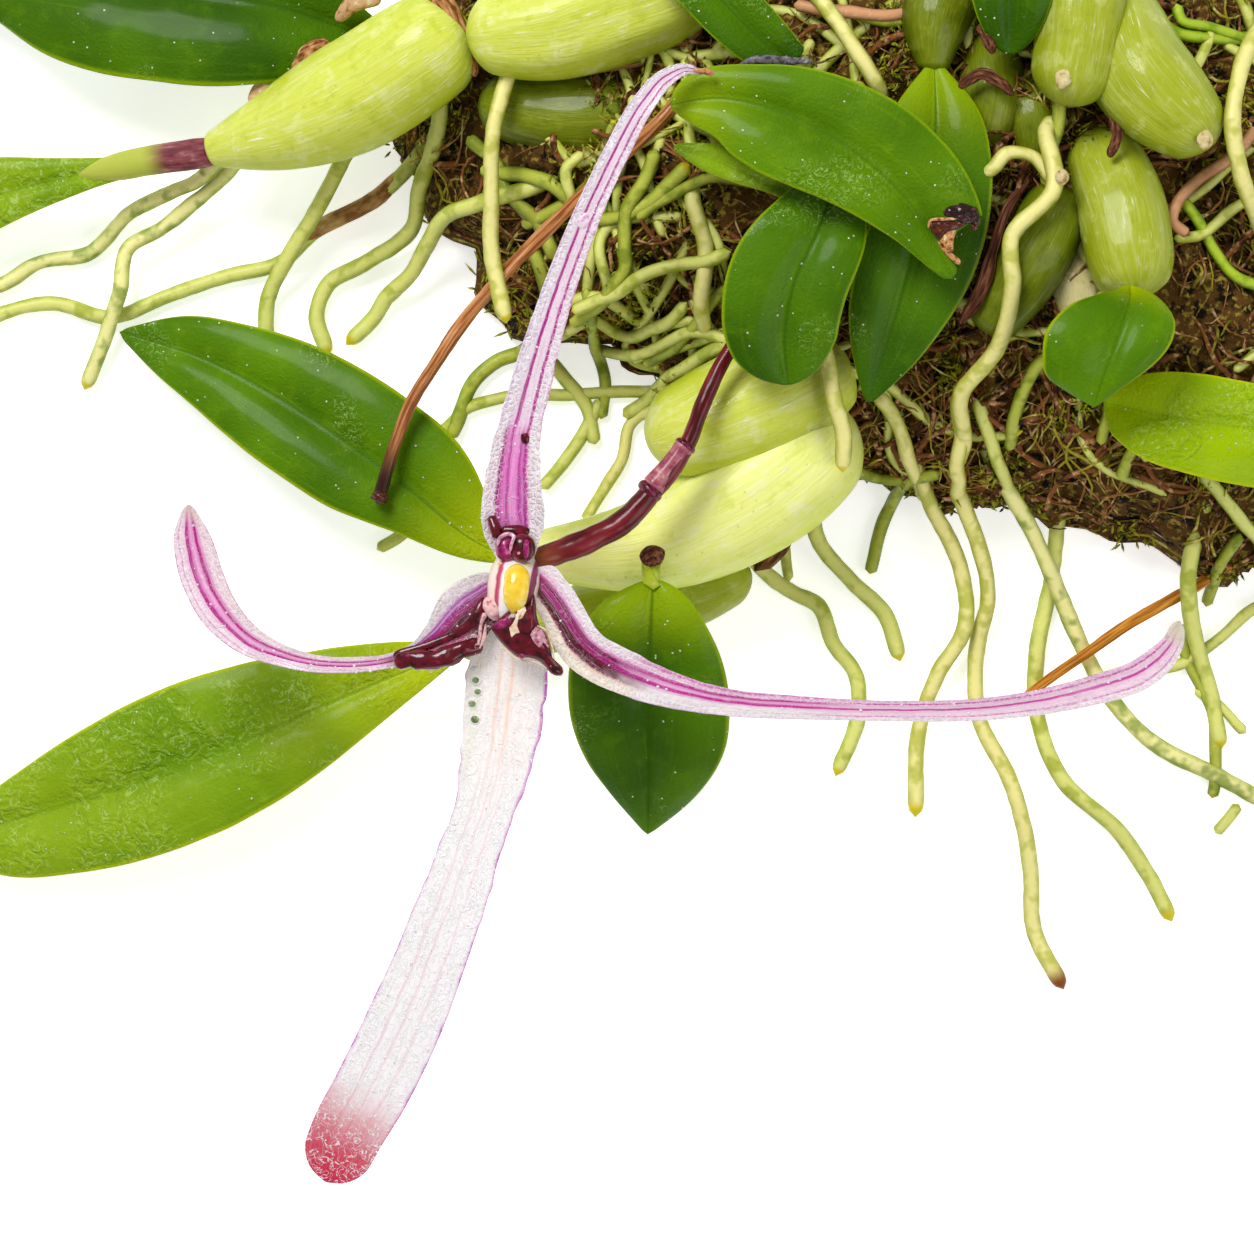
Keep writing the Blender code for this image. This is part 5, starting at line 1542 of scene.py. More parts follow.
                skin.finish(f"root_mass_{tone.name.lower()}_roots", tone.value.dress())


# ---- small shapes

@dataclass(frozen=True)
class Lump:
    """A small rounded body along a short path, flattened by flat and roughened by rough."""

    path: Rows
    radii: Row
    flat: float = 1.0
    rough: float = 0.05
    ends: float = 0.12

    def rings(self, along: int = 22, around: int = 20) -> Array:
        """Carry an oval section along the path and close both ends as domes.

        Args:
            along: Rings along it.
            around: Points round each ring.

        Returns:
            Rings of shape (along, around, 3).
        """
        s = share_of_ends(along)
        spine = at_share(smooth_rows(self.path, 200), s)
        closed = 1 - np.clip(np.minimum(s, 1 - s) / self.ends, 0, 1)
        radius = (read_row(self.radii, s) * np.maximum(np.sqrt(1 - closed**2), 0.02))[:, None]
        rings = tube(spine, radius, around, self.flat)
        return tube(spine, radius * (1 + self.rough * noise(rings, 1.1, 17)), around, self.flat)


@dataclass(frozen=True)
class Pad:
    """A flat rounded flap inside an outline of (x, y) points, at height z, rising by slope per mm."""

    outline: Rows
    z: float
    dome: float = 0.4
    slope: tuple[float, float] = (0.0, 0.0)
    rough: float = 0.08

    def rings(self, along: int = 21, around: int = 80) -> Array:
        """Work out the flap's skin.

        Rings run from the middle of the upper side out to the outline and back to the middle of the
        underside: a point is the middle plus the sine of the half turn times the way to the outline,
        and its height is dome times the cosine, or a third of that below, plus small random lumps.

        Args:
            along: Rings along it.
            around: Points round each ring.

        Returns:
            Rings of shape (along, around, 3).
        """
        rows = np.array(self.outline + self.outline[:1], float)
        at = np.concatenate(([0.0], np.cumsum(np.linalg.norm(np.diff(rows, axis=0), axis=1))))
        where = np.linspace(0, at[-1], around, endpoint=False)
        edge = np.stack([np.interp(where, at, rows[:, n]) for n in (0, 1)], axis=-1)
        edge = (np.roll(edge, 1, axis=0) + 2 * edge + np.roll(edge, -1, axis=0)) / 4
        middle = edge.mean(axis=0)
        half_turn = (np.linspace(0.01, 0.99, along) * math.pi)[:, None]
        flat = middle + np.sin(half_turn)[..., None] * (edge - middle)[None]
        high = self.dome * np.cos(half_turn) * np.where(half_turn < math.pi / 2, 1.0, 0.35)
        z = self.z + high + (flat - middle) @ np.array(self.slope)
        rings = np.concatenate((flat, z[..., None]), axis=-1)
        rings[..., 2] += self.rough * noise(rings, 0.9, 19) * np.sin(half_turn)
        return rings


@dataclass(frozen=True)
class Part:
    """One piece made of small shapes, with its finish."""

    name: str
    shapes: tuple[Lump | Pad, ...]
    finish: FleshFinish | StrandFinish | ColumnFinish
    slot: str
    replaces: str = ""

    def build(self) -> None:
        """Build and dress the piece."""
        skin = Skin()
        for shape in self.shapes:
            skin.add(shape.rings())
        piece = skin.finish(self.name, self.finish.dress())
        if self.replaces:
            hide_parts(self.replaces)


# ---- flower

@dataclass(frozen=True)
class Tepal:
    """A petal or sepal: a thin strip along a path, as wide on both sides where right is empty."""

    name: str
    path: Rows
    left: Row
    right: Row
    cup: float
    finish: TepalFinish
    slot: str = "petal"
    ripple: float = 0.10
    tip: float = 0.015
    scallop: float = 0.03
    veins: Row = (-0.42, 0.0, 0.42)
    vein: float = 0.10
    beads: float = 0.07
    thick: float = 0.3

    def rings(self, along: int = 250, around: int = 46) -> Array:
        """Work out the tepal's skin.

        As for a leaf, t runs from -1 to 1 over the face and back underneath, and the rise is cup times
        the half width times t squared. Low veins stand up along the values of t in veins, the edges
        ripple, and small beads of cells roughen the outer parts.

        Args:
            along: Rings along it.
            around: Points round each ring.

        Returns:
            Rings of shape (along, around, 3).
        """
        s = np.linspace(0, 1, along)
        spine = at_share(smooth_rows(self.path, 500), s)
        left, lift = frames(spine)
        t, face = sheet_round(around)
        half = half_width(self.left, self.right, s, t)
        close = np.minimum(np.clip((1 - s) / self.tip, 0.01, 1), np.clip(s / 0.02, 0.1, 1))
        half = half * np.sqrt(1 - (1 - close) ** 2)[:, None]
        where = spine[:, None, :] + left[:, None, :] * (half * t)[..., None]
        half = half * (1 + self.scallop * noise(where, 1.5, 8) * t**2 * ease(0.6, 0.35, s)[:, None])
        veins = sum(np.exp(-((t - at) / 0.09) ** 2) for at in self.veins)
        edge = self.ripple * np.abs(t) ** 3 * (np.sin(s * 61)[:, None] + np.sin(s * 37 + 1)[:, None])
        beads = self.beads * noise(where, 0.55, 9) * ease(0.3, 0.7, np.abs(t))
        thick = self.thick * (1 - t**2) ** 0.25
        rise = self.cup * half * t**2 + edge + self.vein * veins + face * thick + np.where(face > 0, beads, 0)
        return spread(spine, left, lift, half * t, rise)

    def build(self) -> Array:
        """Build and dress the tepal in place of its plain solid.

        Returns:
            Its rings, on which the dew lies.
        """
        rings = self.rings()
        piece = sheet_skin(rings).finish(self.name + "_tissue", self.finish.dress())
        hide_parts(self.name)
        return rings


TEPALS: tuple[Tepal, ...] = (
    Tepal("dorsal_sepal",
          ((-62.1, -58.4, 39), (-62.4, -54, 39.4), (-62.6, -49.5, 40.5), (-62.5, -46, 41.3),
           (-61.9, -40.5, 42), (-60.2, -33.5, 43), (-57.9, -25.5, 44.5), (-55, -17, 46), (-51.6, -8.5, 47.5),
           (-48, -1, 48.5), (-44.5, 5.3, 49), (-41.2, 9.2, 48.5), (-38.4, 10.5, 47.5), (-36, 10, 46.5)),
          (2, 4.4, 3.8, 3.1, 2.8, 2.5, 2.3, 2.1, 1.9, 1.8, 1.7, 1.35, 0.3), (), 0.25,
          TepalFinish("dorsal_sepal_tissue",
              base=((0, "#F2E8EA"), (0.22, "#EEDCE4"), (0.26, "#D858B4"), (0.3, "#A8187C"), (0.35, "#E070C8"),
                    (0.4, "#B42890"), (0.45, "#EC8CD0"), (0.54, "#F09CD8"), (0.6, "#C03C9C"),
                    (0.66, "#EC80CC"), (0.72, "#C83CA4"), (0.77, "#9C1070"), (0.81, "#EACCDC"),
                    (1, "#F2E8EA")),
              limb=((0, "#DC88C4"), (0.07, "#F6E4F0"), (0.22, "#F4DCEC"), (0.25, "#B81890"), (0.3, "#B01488"),
                    (0.33, "#F4DCEC"), (0.53, "#F2DCEC"), (0.56, "#B81890"), (0.62, "#A81480"),
                    (0.65, "#F2DCEC"), (0.9, "#F4EAF2"), (0.94, "#DCB0D8"), (1, "#F2E8F0")), join=(0.2, 0.3),
              tip="#A67A4E", tip_start=0.97), scallop=0.06),
    Tepal("left_petal", ((-64.2, -60.6, 39.8), (-69.5, -64.5, 40.5), (-74, -68.5, 40.5), (-79, -71, 39.5),
                         (-87, -72, 37.5), (-94, -71, 36), (-100, -68.5, 35), (-104, -64.5, 34.5),
                         (-106.5, -60, 34), (-108, -54.5, 34), (-108.5, -49.5, 34.5)),
          (1.6, 4, 5, 4.4, 2.2, 1.3, 1.2, 1.3, 1.5, 1.7, 2.1, 2.6, 3, 3, 2.9, 2.4, 0.7),
          (2.2, 3.6, 3.6, 2.2, 0.9, 0.8, 1, 1, 1.1, 1.4, 1.9, 2.3, 2.7, 3, 3.1, 2.4, 0.5), 0.2,
          TepalFinish("left_petal_tissue",
              base=((0, "#E0D4D8"), (0.06, "#E2D8DA"), (0.22, "#DCCCD6"), (0.28, "#C084B8"),
                    (0.32, "#9C349C"), (0.36, "#D8A0D0"), (0.39, "#96248A"), (0.46, "#A02078"),
                    (0.54, "#8A1058"), (0.58, "#4E0420"), (0.65, "#4E0420"), (0.69, "#C8507C"),
                    (0.78, "#CC6A90"), (0.84, "#6A0C28")),
              limb=((0, "#D87CB4"), (0.04, "#F4DCE0"), (0.24, "#F4D8E2"), (0.3, "#E8A0CC"), (0.34, "#E496C8"),
                    (0.36, "#B00C7C"), (0.41, "#B00C7C"), (0.44, "#E890CC"), (0.5, "#F0B4DA"),
                    (0.57, "#E484C4"), (0.61, "#B41086"), (0.66, "#B41086"), (0.69, "#F2C8E0"),
                    (0.83, "#F8E4EC"), (0.86, "#DC88C0"), (0.89, "#F8E4EC"), (0.97, "#F4D4E4"),
                    (1, "#C850A8")), join=(0.27, 0.33), tip="#EACFC8", tip_start=0.95, bubbles=0.45)),
    Tepal("right_petal",
          ((-60.3, -59.4, 39.8), (-56.8, -63.6, 40.5), (-52.5, -69.5, 40), (-46, -73.5, 39),
           (-36.5, -76.5, 37.5), (-22, -78, 35.5), (-8, -78.5, 34), (6, -78, 32.5), (19, -75.5, 31.5),
           (27, -72.5, 31.5), (30.5, -69, 32), (31.5, -66, 33)),
          (3.6, 3.3, 2.8, 3, 2.5, 1.9, 1.6, 1.5, 1.4, 1.3, 1.3, 1.4, 1.5, 1.7, 1.8, 1.8, 0.9),
          (1.8, 2.7, 3.6, 3.2, 2.7, 2.2, 2, 1.8, 1.6, 1.6, 1.7, 1.8, 2, 2.3, 2.6, 2.4, 0.9), 0.15,
          TepalFinish("right_petal_tissue",
              base=((0, "#F0E2C8"), (0.14, "#F6EAD8"), (0.23, "#F0DCC4"), (0.27, "#8A1444"),
                    (0.32, "#4A0214"), (0.45, "#600624"), (0.49, "#B0308A"), (0.53, "#8A1450"),
                    (0.57, "#B43490"), (0.61, "#780C40"), (0.65, "#8A1858"), (0.69, "#C864B0"),
                    (0.76, "#EECADE"), (0.86, "#F8ECF0"), (1, "#F4E8F0")),
              middle=((0, "#E09CD0"), (0.04, "#F2E6EA"), (0.36, "#F4E8EC"), (0.42, "#F0BCDE"),
                      (0.46, "#C81E98"), (0.52, "#C81E98"), (0.56, "#F0ACDA"), (0.64, "#EC9CD2"),
                      (0.68, "#B8188A"), (0.74, "#CC309C"), (0.78, "#F2C8E2"), (0.88, "#F0BCDC"),
                      (0.92, "#D04CB0"), (1, "#F0B0DA")),
              limb=((0, "#F6E0EA"), (0.16, "#F8E4EE"), (0.2, "#DC68B8"), (0.24, "#F6D8E8"), (0.44, "#F4CCE2"),
                    (0.48, "#CC3CA4"), (0.53, "#CC3CA4"), (0.57, "#F4D4E6"), (0.74, "#F2C8E0"),
                    (0.78, "#D04CAC"), (0.82, "#D04CAC"), (0.86, "#F2D0E4"), (0.95, "#F0B8DA"),
                    (1, "#DC88C4")), join=(0.16, 0.24), second_join=(0.42, 0.54), tip="#EADFC8",
              tip_start=0.96, bubbles=0.5, wrinkle=0.12)),
    Tepal("lower_sepal",
          ((-62.8, -64.4, 39.6), (-63.2, -71, 37.8), (-63.9, -78, 36.6), (-65, -85.5, 36),
           (-66.8, -92.5, 35.4), (-68.8, -98.3, 34.5), (-70.7, -104, 33.4), (-72.9, -109.7, 32),
           (-75.1, -115.5, 30.5), (-77.5, -121.2, 28.9), (-80.2, -127.1, 27), (-83.2, -133, 25),
           (-86.6, -139, 22.6), (-90, -146.6, 19.5)),
          (2.4, 5.4, 5.6, 5, 4.15, 4.45, 4.85, 5.05, 5.4, 5.5, 5.45, 5.2, 4.6), (), 0.06,
          TepalFinish("lower_sepal_tissue",
              base=((0, "#E8DEE2"), (0.04, "#F0ECE0"), (0.14, "#EEEADC"), (0.22, "#FEF6F0"),
                    (0.36, "#FEF4EE"), (0.4, "#F8D6C6"), (0.44, "#FEF4EE"), (0.52, "#FEF2EA"),
                    (0.56, "#FAD4C2"), (0.6, "#FEF4EE"), (0.8, "#FEF4EE"), (0.94, "#F8EEEC"),
                    (0.97, "#C860BC"), (1, "#B84CB0")),
              limb=((0, "#B864BA"), (0.02, "#F0D8EC"), (0.05, "#FEFAFA"), (0.27, "#FEFAFA"), (0.3, "#F6DCE6"),
                    (0.33, "#FEFAFA"), (0.45, "#FEFAFA"), (0.48, "#F6DEE6"), (0.51, "#FEFAFA"),
                    (0.66, "#FEFAFA"), (0.69, "#F6DEE6"), (0.72, "#FEFAFA"), (0.95, "#FEF8FA"),
                    (0.98, "#ECC8E6"), (1, "#BC5ABA")), join=(0.14, 0.4), tip="#D0204C", tip_start=0.79,
              # Painted light: the lower sepal glows more, to lift its base where the lip shades it.
              bubbles=0.2, wrinkle=0.7, fold=0.06, painted_glow=0.1), "sepal", 0.05, 0.06, 0.05),
)

MAROON = FleshFinish("dark_maroon_flesh", "#600418", "#8C1038", "#300208", 1.4, 0.6, 0.25, 0.2)
MAGENTA = FleshFinish("magenta_flesh", "#9A1C62", "#CC6CA0", "#6E0A3C", 1.0, 0.6, 0.22)
CREAM = FleshFinish("cream_flesh", "#F0DDBC", "#F8F0E2", "#DCA894", 1.0, 0.4)
PINK = FleshFinish("pink_flesh", "#F0C2C0", "#FCEAE6", "#D06884", 0.7, 0.5)
# Painted highlight: the pink tones of the sheen on the lip.
LIP_SHEEN = FleshFinish("mottled_pink_sheen", "#C88898", "#EAC8C4", "#8C2848", 0.5, 0.5)
DEW = FleshFinish("dew_on_cells", "#F4EEF2", "#FFFFFF", "#E4D4DE", 1.0, 1.0, 0.1)

FLOWER_PARTS: tuple[Part, ...] = (
    Part("column_flesh", (
        Lump(((-61.2, -56.8, 37.6), (-62.1, -58.8, 39.6), (-62.7, -62, 41.2), (-63.2, -66.6, 41.2)),
             (2.2, 3.2, 3.6, 3.5, 3.1, 2.2), 0.8, 0.03),
    ), ColumnFinish(), "column", "column"),
    Part("column_foot", (
        Lump(((-66.3, -62.6, 42.2), (-65.4, -64.2, 42.9), (-65, -65.9, 42.5)), (0.9, 1.2, 0.8), 0.6, 0.14,
             0.4),
        Lump(((-66.3, -64.2, 43.1), (-65.6, -63.6, 43.4), (-64.9, -64.2, 43.4), (-65.2, -65, 43.3)),
             (0.14, 0.2, 0.14), 1, 0.2),
        Lump(((-66.4, -64.8, 42.4), (-67, -66.4, 42.1), (-67.2, -68.2, 41.8), (-67.9, -70.6, 41.3)),
             (0.4, 0.24, 0.2, 0.14), 1, 0.4, 0.05),
        Lump(((-66.3, -66.3, 42.1), (-66.6, -68.3, 41.8), (-67.3, -69.9, 41.4)), (0.2, 0.26, 0.16), 1, 0.4),
    ), PINK, "column"),
    Part("anther_cap_flesh", (
        Lump(((-61.9, -58, 44.2), (-62, -61.4, 45.2), (-62.5, -65, 44.4)), (1.2, 1.7, 1.8, 1.75, 1.45, 0.5),
             0.6, 0.02, 0.18),
    ), FleshFinish("yellow_anther_flesh", "#FDD53C", "#FEEC90", "#F8C424", 1.6, 0.8), "anther", "anther_cap"),
    Part("lip_flesh", (
        Pad(((-65.7, -66.8), (-64.3, -65.5), (-63.1, -64.4), (-62.1, -64.3), (-61, -63.9), (-60.1, -62.7),
             (-59.6, -61.9), (-59.3, -63.4), (-59.2, -65.2), (-58.7, -66.9), (-57.9, -67.6), (-57.4, -69.3),
             (-56.9, -71.4), (-55.5, -72.4), (-55.7, -73.5), (-56.8, -73.5), (-57.8, -72.5), (-59, -71.4),
             (-60.4, -71), (-61.8, -71.1), (-63.2, -70), (-64.6, -68.5)), 43.4, 1.4, (-0.05, 0.1), 0.08),
        Lump(((-57.6, -72, 43.2), (-56.4, -72.9, 43), (-55.6, -73.1, 42.6)), (0.5, 0.75, 0.5)),
    ), MAROON, "lip", "lip"),
    Part("lip_cream_stripe", (
        Pad(((-61.3, -64.7), (-61.7, -65.7), (-61.9, -66.6), (-61.5, -67.6), (-62.1, -67.7), (-62.7, -68.3),
             (-63, -66.9), (-62.5, -66.3), (-62.2, -65.7), (-62, -64.9)), 44.95, 0.3, (0, 0.05), 0.15),
        Pad(((-61.9, -64.5), (-60.8, -63.9), (-60.6, -64.5), (-61.2, -65.6), (-61.9, -65.8)), 44.85, 0.25),
    ), CREAM, "lip"),
    # Painted highlight: a flat pinkish pad for the pinkish-grey sheen on the dark lip.
    Part("lip_pink_sheen", (
        Pad(((-59.3, -66.7), (-58.4, -67.2), (-57.7, -68.5), (-57.5, -69.8), (-58.2, -68.9), (-58.8, -69.7),
             (-59.6, -68.9), (-60.1, -67.8)), 44.62, 0.15, (-0.35, 0.15), 0.05),
    ), LIP_SHEEN, "lip"),
    Part("lip_white_rim", (
        Lump(((-59.4, -66.5, 44.3), (-58, -67.2, 44), (-57.2, -69, 43.6), (-56.7, -71.5, 43.4)),
             (0.12, 0.16, 0.14, 0.1), 1, 0.1),
        Lump(((-64.4, -69, 43.3), (-62.9, -70.6, 43.2), (-61.3, -71.4, 43), (-59.2, -71.7, 43),
              (-57.8, -72.6, 43)), (0.1, 0.15, 0.12, 0.1), 1, 0.1),
    ), CREAM, "lip"),
    Part("lip_magenta_lobe", (
        Pad(((-65.4, -66.6), (-64.3, -65.8), (-63.2, -65.4), (-62.9, -66.1), (-63.5, -66.9), (-64.7, -67.2)),
            44.5, 0.3, (0.2, 0.05)),
        Lump(((-61.6, -70.6, 43.6), (-60.9, -70.8, 43.6)), (0.4, 0.5, 0.4)),
    ), MAGENTA, "lip"),
    Part("flower_knob_flesh", (
        Lump(((-61.3, -53.6, 42.2), (-61.2, -57.8, 42.2)), (1.3, 1.75, 1.8, 1.4), 0.9, 0.02, 0.3),
        Lump(((-65.6, -51.2, 41.2), (-64.7, -54.4, 41.9)), (0.6, 0.85, 0.7), 0.8, 0.15),
        Lump(((-64.2, -53.3, 41.8), (-60.2, -53.4, 41.8)), (0.6, 0.8, 0.6), 0.8, 0.1),
    ), MAROON, "lip", "flower_knob"),
    Part("flower_knob_lobe", (
        Lump(((-63.6, -53.9, 41.9), (-63.4, -57.7, 41.9)), (1, 1.45, 1.5, 1.1), 0.85, 0.02, 0.3),
        Lump(((-60.6, -54.6, 43.9), (-60.7, -57.2, 43.7)), (0.3, 0.45, 0.3), 0.5, 0.05),
    ), MAGENTA, "lip"),
    Part("flower_knob_gleam", (
        Lump(((-64.7, -55.5, 43.1), (-64.3, -54.3, 43.2), (-63.3, -53.8, 43.2), (-62.4, -54.1, 43.6),
              (-62.7, -55.2, 43.8), (-62.9, -56.3, 43.6)), (0.2, 0.28, 0.26, 0.2), 0.8, 0.1),
        Lump(((-61.7, -56.3, 44), (-61.7, -56.7, 44)), (0.2, 0.22, 0.2), 1),
    ), FleshFinish("pale_pink_gleam", "#D8A8B8", "#F4E0E6", "#B87890", 0.8, 0.8), "lip"),
    Part("flower_rim", (
        Lump(((-64.8, -57.9, 41.6), (-62, -58.3, 42.1), (-60, -58, 41.7)), (0.25, 0.35, 0.25)),
    ), FleshFinish("yellow_rim_flesh", "#E6D494", "#F4ECC8", "#C89A5A", 1.5, 0.5), "column"),
    Part("left_petal_ridge", (
        Lump(((-66.8, -69.1, 41), (-69.2, -69.9, 41.3), (-71.3, -70.9, 41.4), (-73.4, -71.5, 41.4),
              (-75.5, -71.5, 41.2), (-77.6, -71.4, 40.9), (-79.2, -71.4, 40.6)),
             (1, 1.15, 1.4, 1.45, 1.4, 1.3, 1.1), 0.7, 0.3, 0.06),
        Lump(((-66.6, -62.6, 41.6), (-67.4, -65, 41.9), (-69.2, -66.9, 41.7), (-71.3, -68.1, 41.4),
              (-73.4, -68.9, 41.2), (-75.5, -69.7, 41), (-77.6, -70.3, 40.9), (-79.3, -70.9, 40.7)),
             (0.7, 1, 0.75, 0.55, 0.5, 0.55, 0.65, 0.7), 0.6, 0.15, 0.06),
    ), MAROON, "petal"),
    Part("sepal_bubbles",
         tuple(Lump(((x, y - r, z), (x, y + 0.7 * r, z)), (r, r), 0.4, 0.06, 0.5)
             for x, y, z, r in ((-67.9, -74.2, 37.75, 0.5), (-67.6, -75.8, 37.5, 0.46),
                                (-68.4, -77.5, 37.2, 0.52), (-68, -79.7, 36.95, 0.6))),
         FleshFinish("green_glassy_cells", "#7E9458", "#BCC89C", "#5E6E40", 0.7, 0.8, 0.15), "sepal"),
    Part("sepal_bubble_rims",
         tuple(Lump(((x, y - r, z), (x, y + 0.7 * r, z)), (r, r), 0.35, 0.06, 0.5)
             for x, y, z, r in ((-67.9, -74.2, 37.55, 0.75), (-67.6, -75.8, 37.3, 0.7),
                                (-68.4, -77.5, 37, 0.74), (-68, -79.7, 36.75, 0.84),
                                (-68.1, -72.6, 37.8, 0.5))),
         FleshFinish("clear_cell_rims", "#F8F4F0", "#FFFDFC", "#E4D8D8", 0.5, 0.8, 0.15), "sepal"),
    Part("dorsal_bumps", (
        Lump(((-53.1, -11.6, 47.3), (-52.2, -9.4, 47.7)), (0.6, 0.9, 0.6), 0.4, 0.2, 0.4),
        Lump(((-51.5, -12.4, 47.6), (-50.9, -10.6, 47.8)), (0.3, 0.5, 0.3), 0.5, 0.1),
        Lump(((-56.6, -24, 45), (-55.9, -21.6, 45.4)), (0.4, 0.6, 0.4), 0.4, 0.1),
    ), FleshFinish("clear_blister", "#F2DCEC", "#FFFFFF", "#D8A0C8", 0.6, 0.9, 0.12), "petal"),
    Part("dorsal_drop", (
        Lump(((-60.9, -39.7, 42.5), (-60.7, -41.2, 42.3)), (0.5, 0.65, 0.45), 0.9, 0.1),
        Lump(((-60.6, -41, 42.1), (-60.9, -42.6, 41.9)), (0.4, 0.45, 0.25), 0.6, 0.3),
    ), MAROON, "petal"),
)


@dataclass
class Flower:
    """The flower: four long tepals round the column, with its anther cap, its lip and beads of dew."""

    tepals: tuple[Tepal, ...] = TEPALS
    parts: tuple[Part, ...] = FLOWER_PARTS
    beads: int = 70
    bead_radii: tuple[float, float] = (0.10, 0.24)
    bead_rings: tuple[int, int] = (12, 240)
    bead_points: tuple[int, int] = (2, 21)
    seed: int = 5

    def build(self) -> None:
        """Build every part of the flower."""
        rng = np.random.default_rng(self.seed)
        dew = Skin()
        for tepal in self.tepals:
            rings = tepal.build()
            along = rng.integers(*self.bead_rings, self.beads)
            around = rng.integers(*self.bead_points, self.beads)
            dew.add(self.bead(rings[along, around], rng.uniform(*self.bead_radii, self.beads)))
        dew.finish("flower_dew", DEW.dress())
        for part in self.parts:
            part.build()

    def bead(self, places: Array, radii: Array) -> Array:
        """Set a flattened bead at each place: rings of a sphere, from side to side.

        Args:
            places: The beads' middles.
            radii: Their radii.

        Returns:
            Rings of shape (beads, along, around, 3).
        """
        angle = np.linspace(0.15, math.pi - 0.15, 5)
        step = np.cos(angle)[None, :, None] * radii[:, None, None] * np.array((1.0, 0, 0))
        path = places[:, None, :] - step
        width = radii[:, None, None] * np.sin(angle)[None, :, None]
        return tube(path, width, 6, 0.7)


# ---- husks, scars and torn bits

HUSK = StrandFinish("papery_husk", "#6A3E18", "#B8804C", "#ECC498", 0.75, grain=22.0)
DARK_HUSK = StrandFinish("dark_papery_husk", "#3A1C12", "#6E4028", "#A87858", 0.75, grain=22.0)

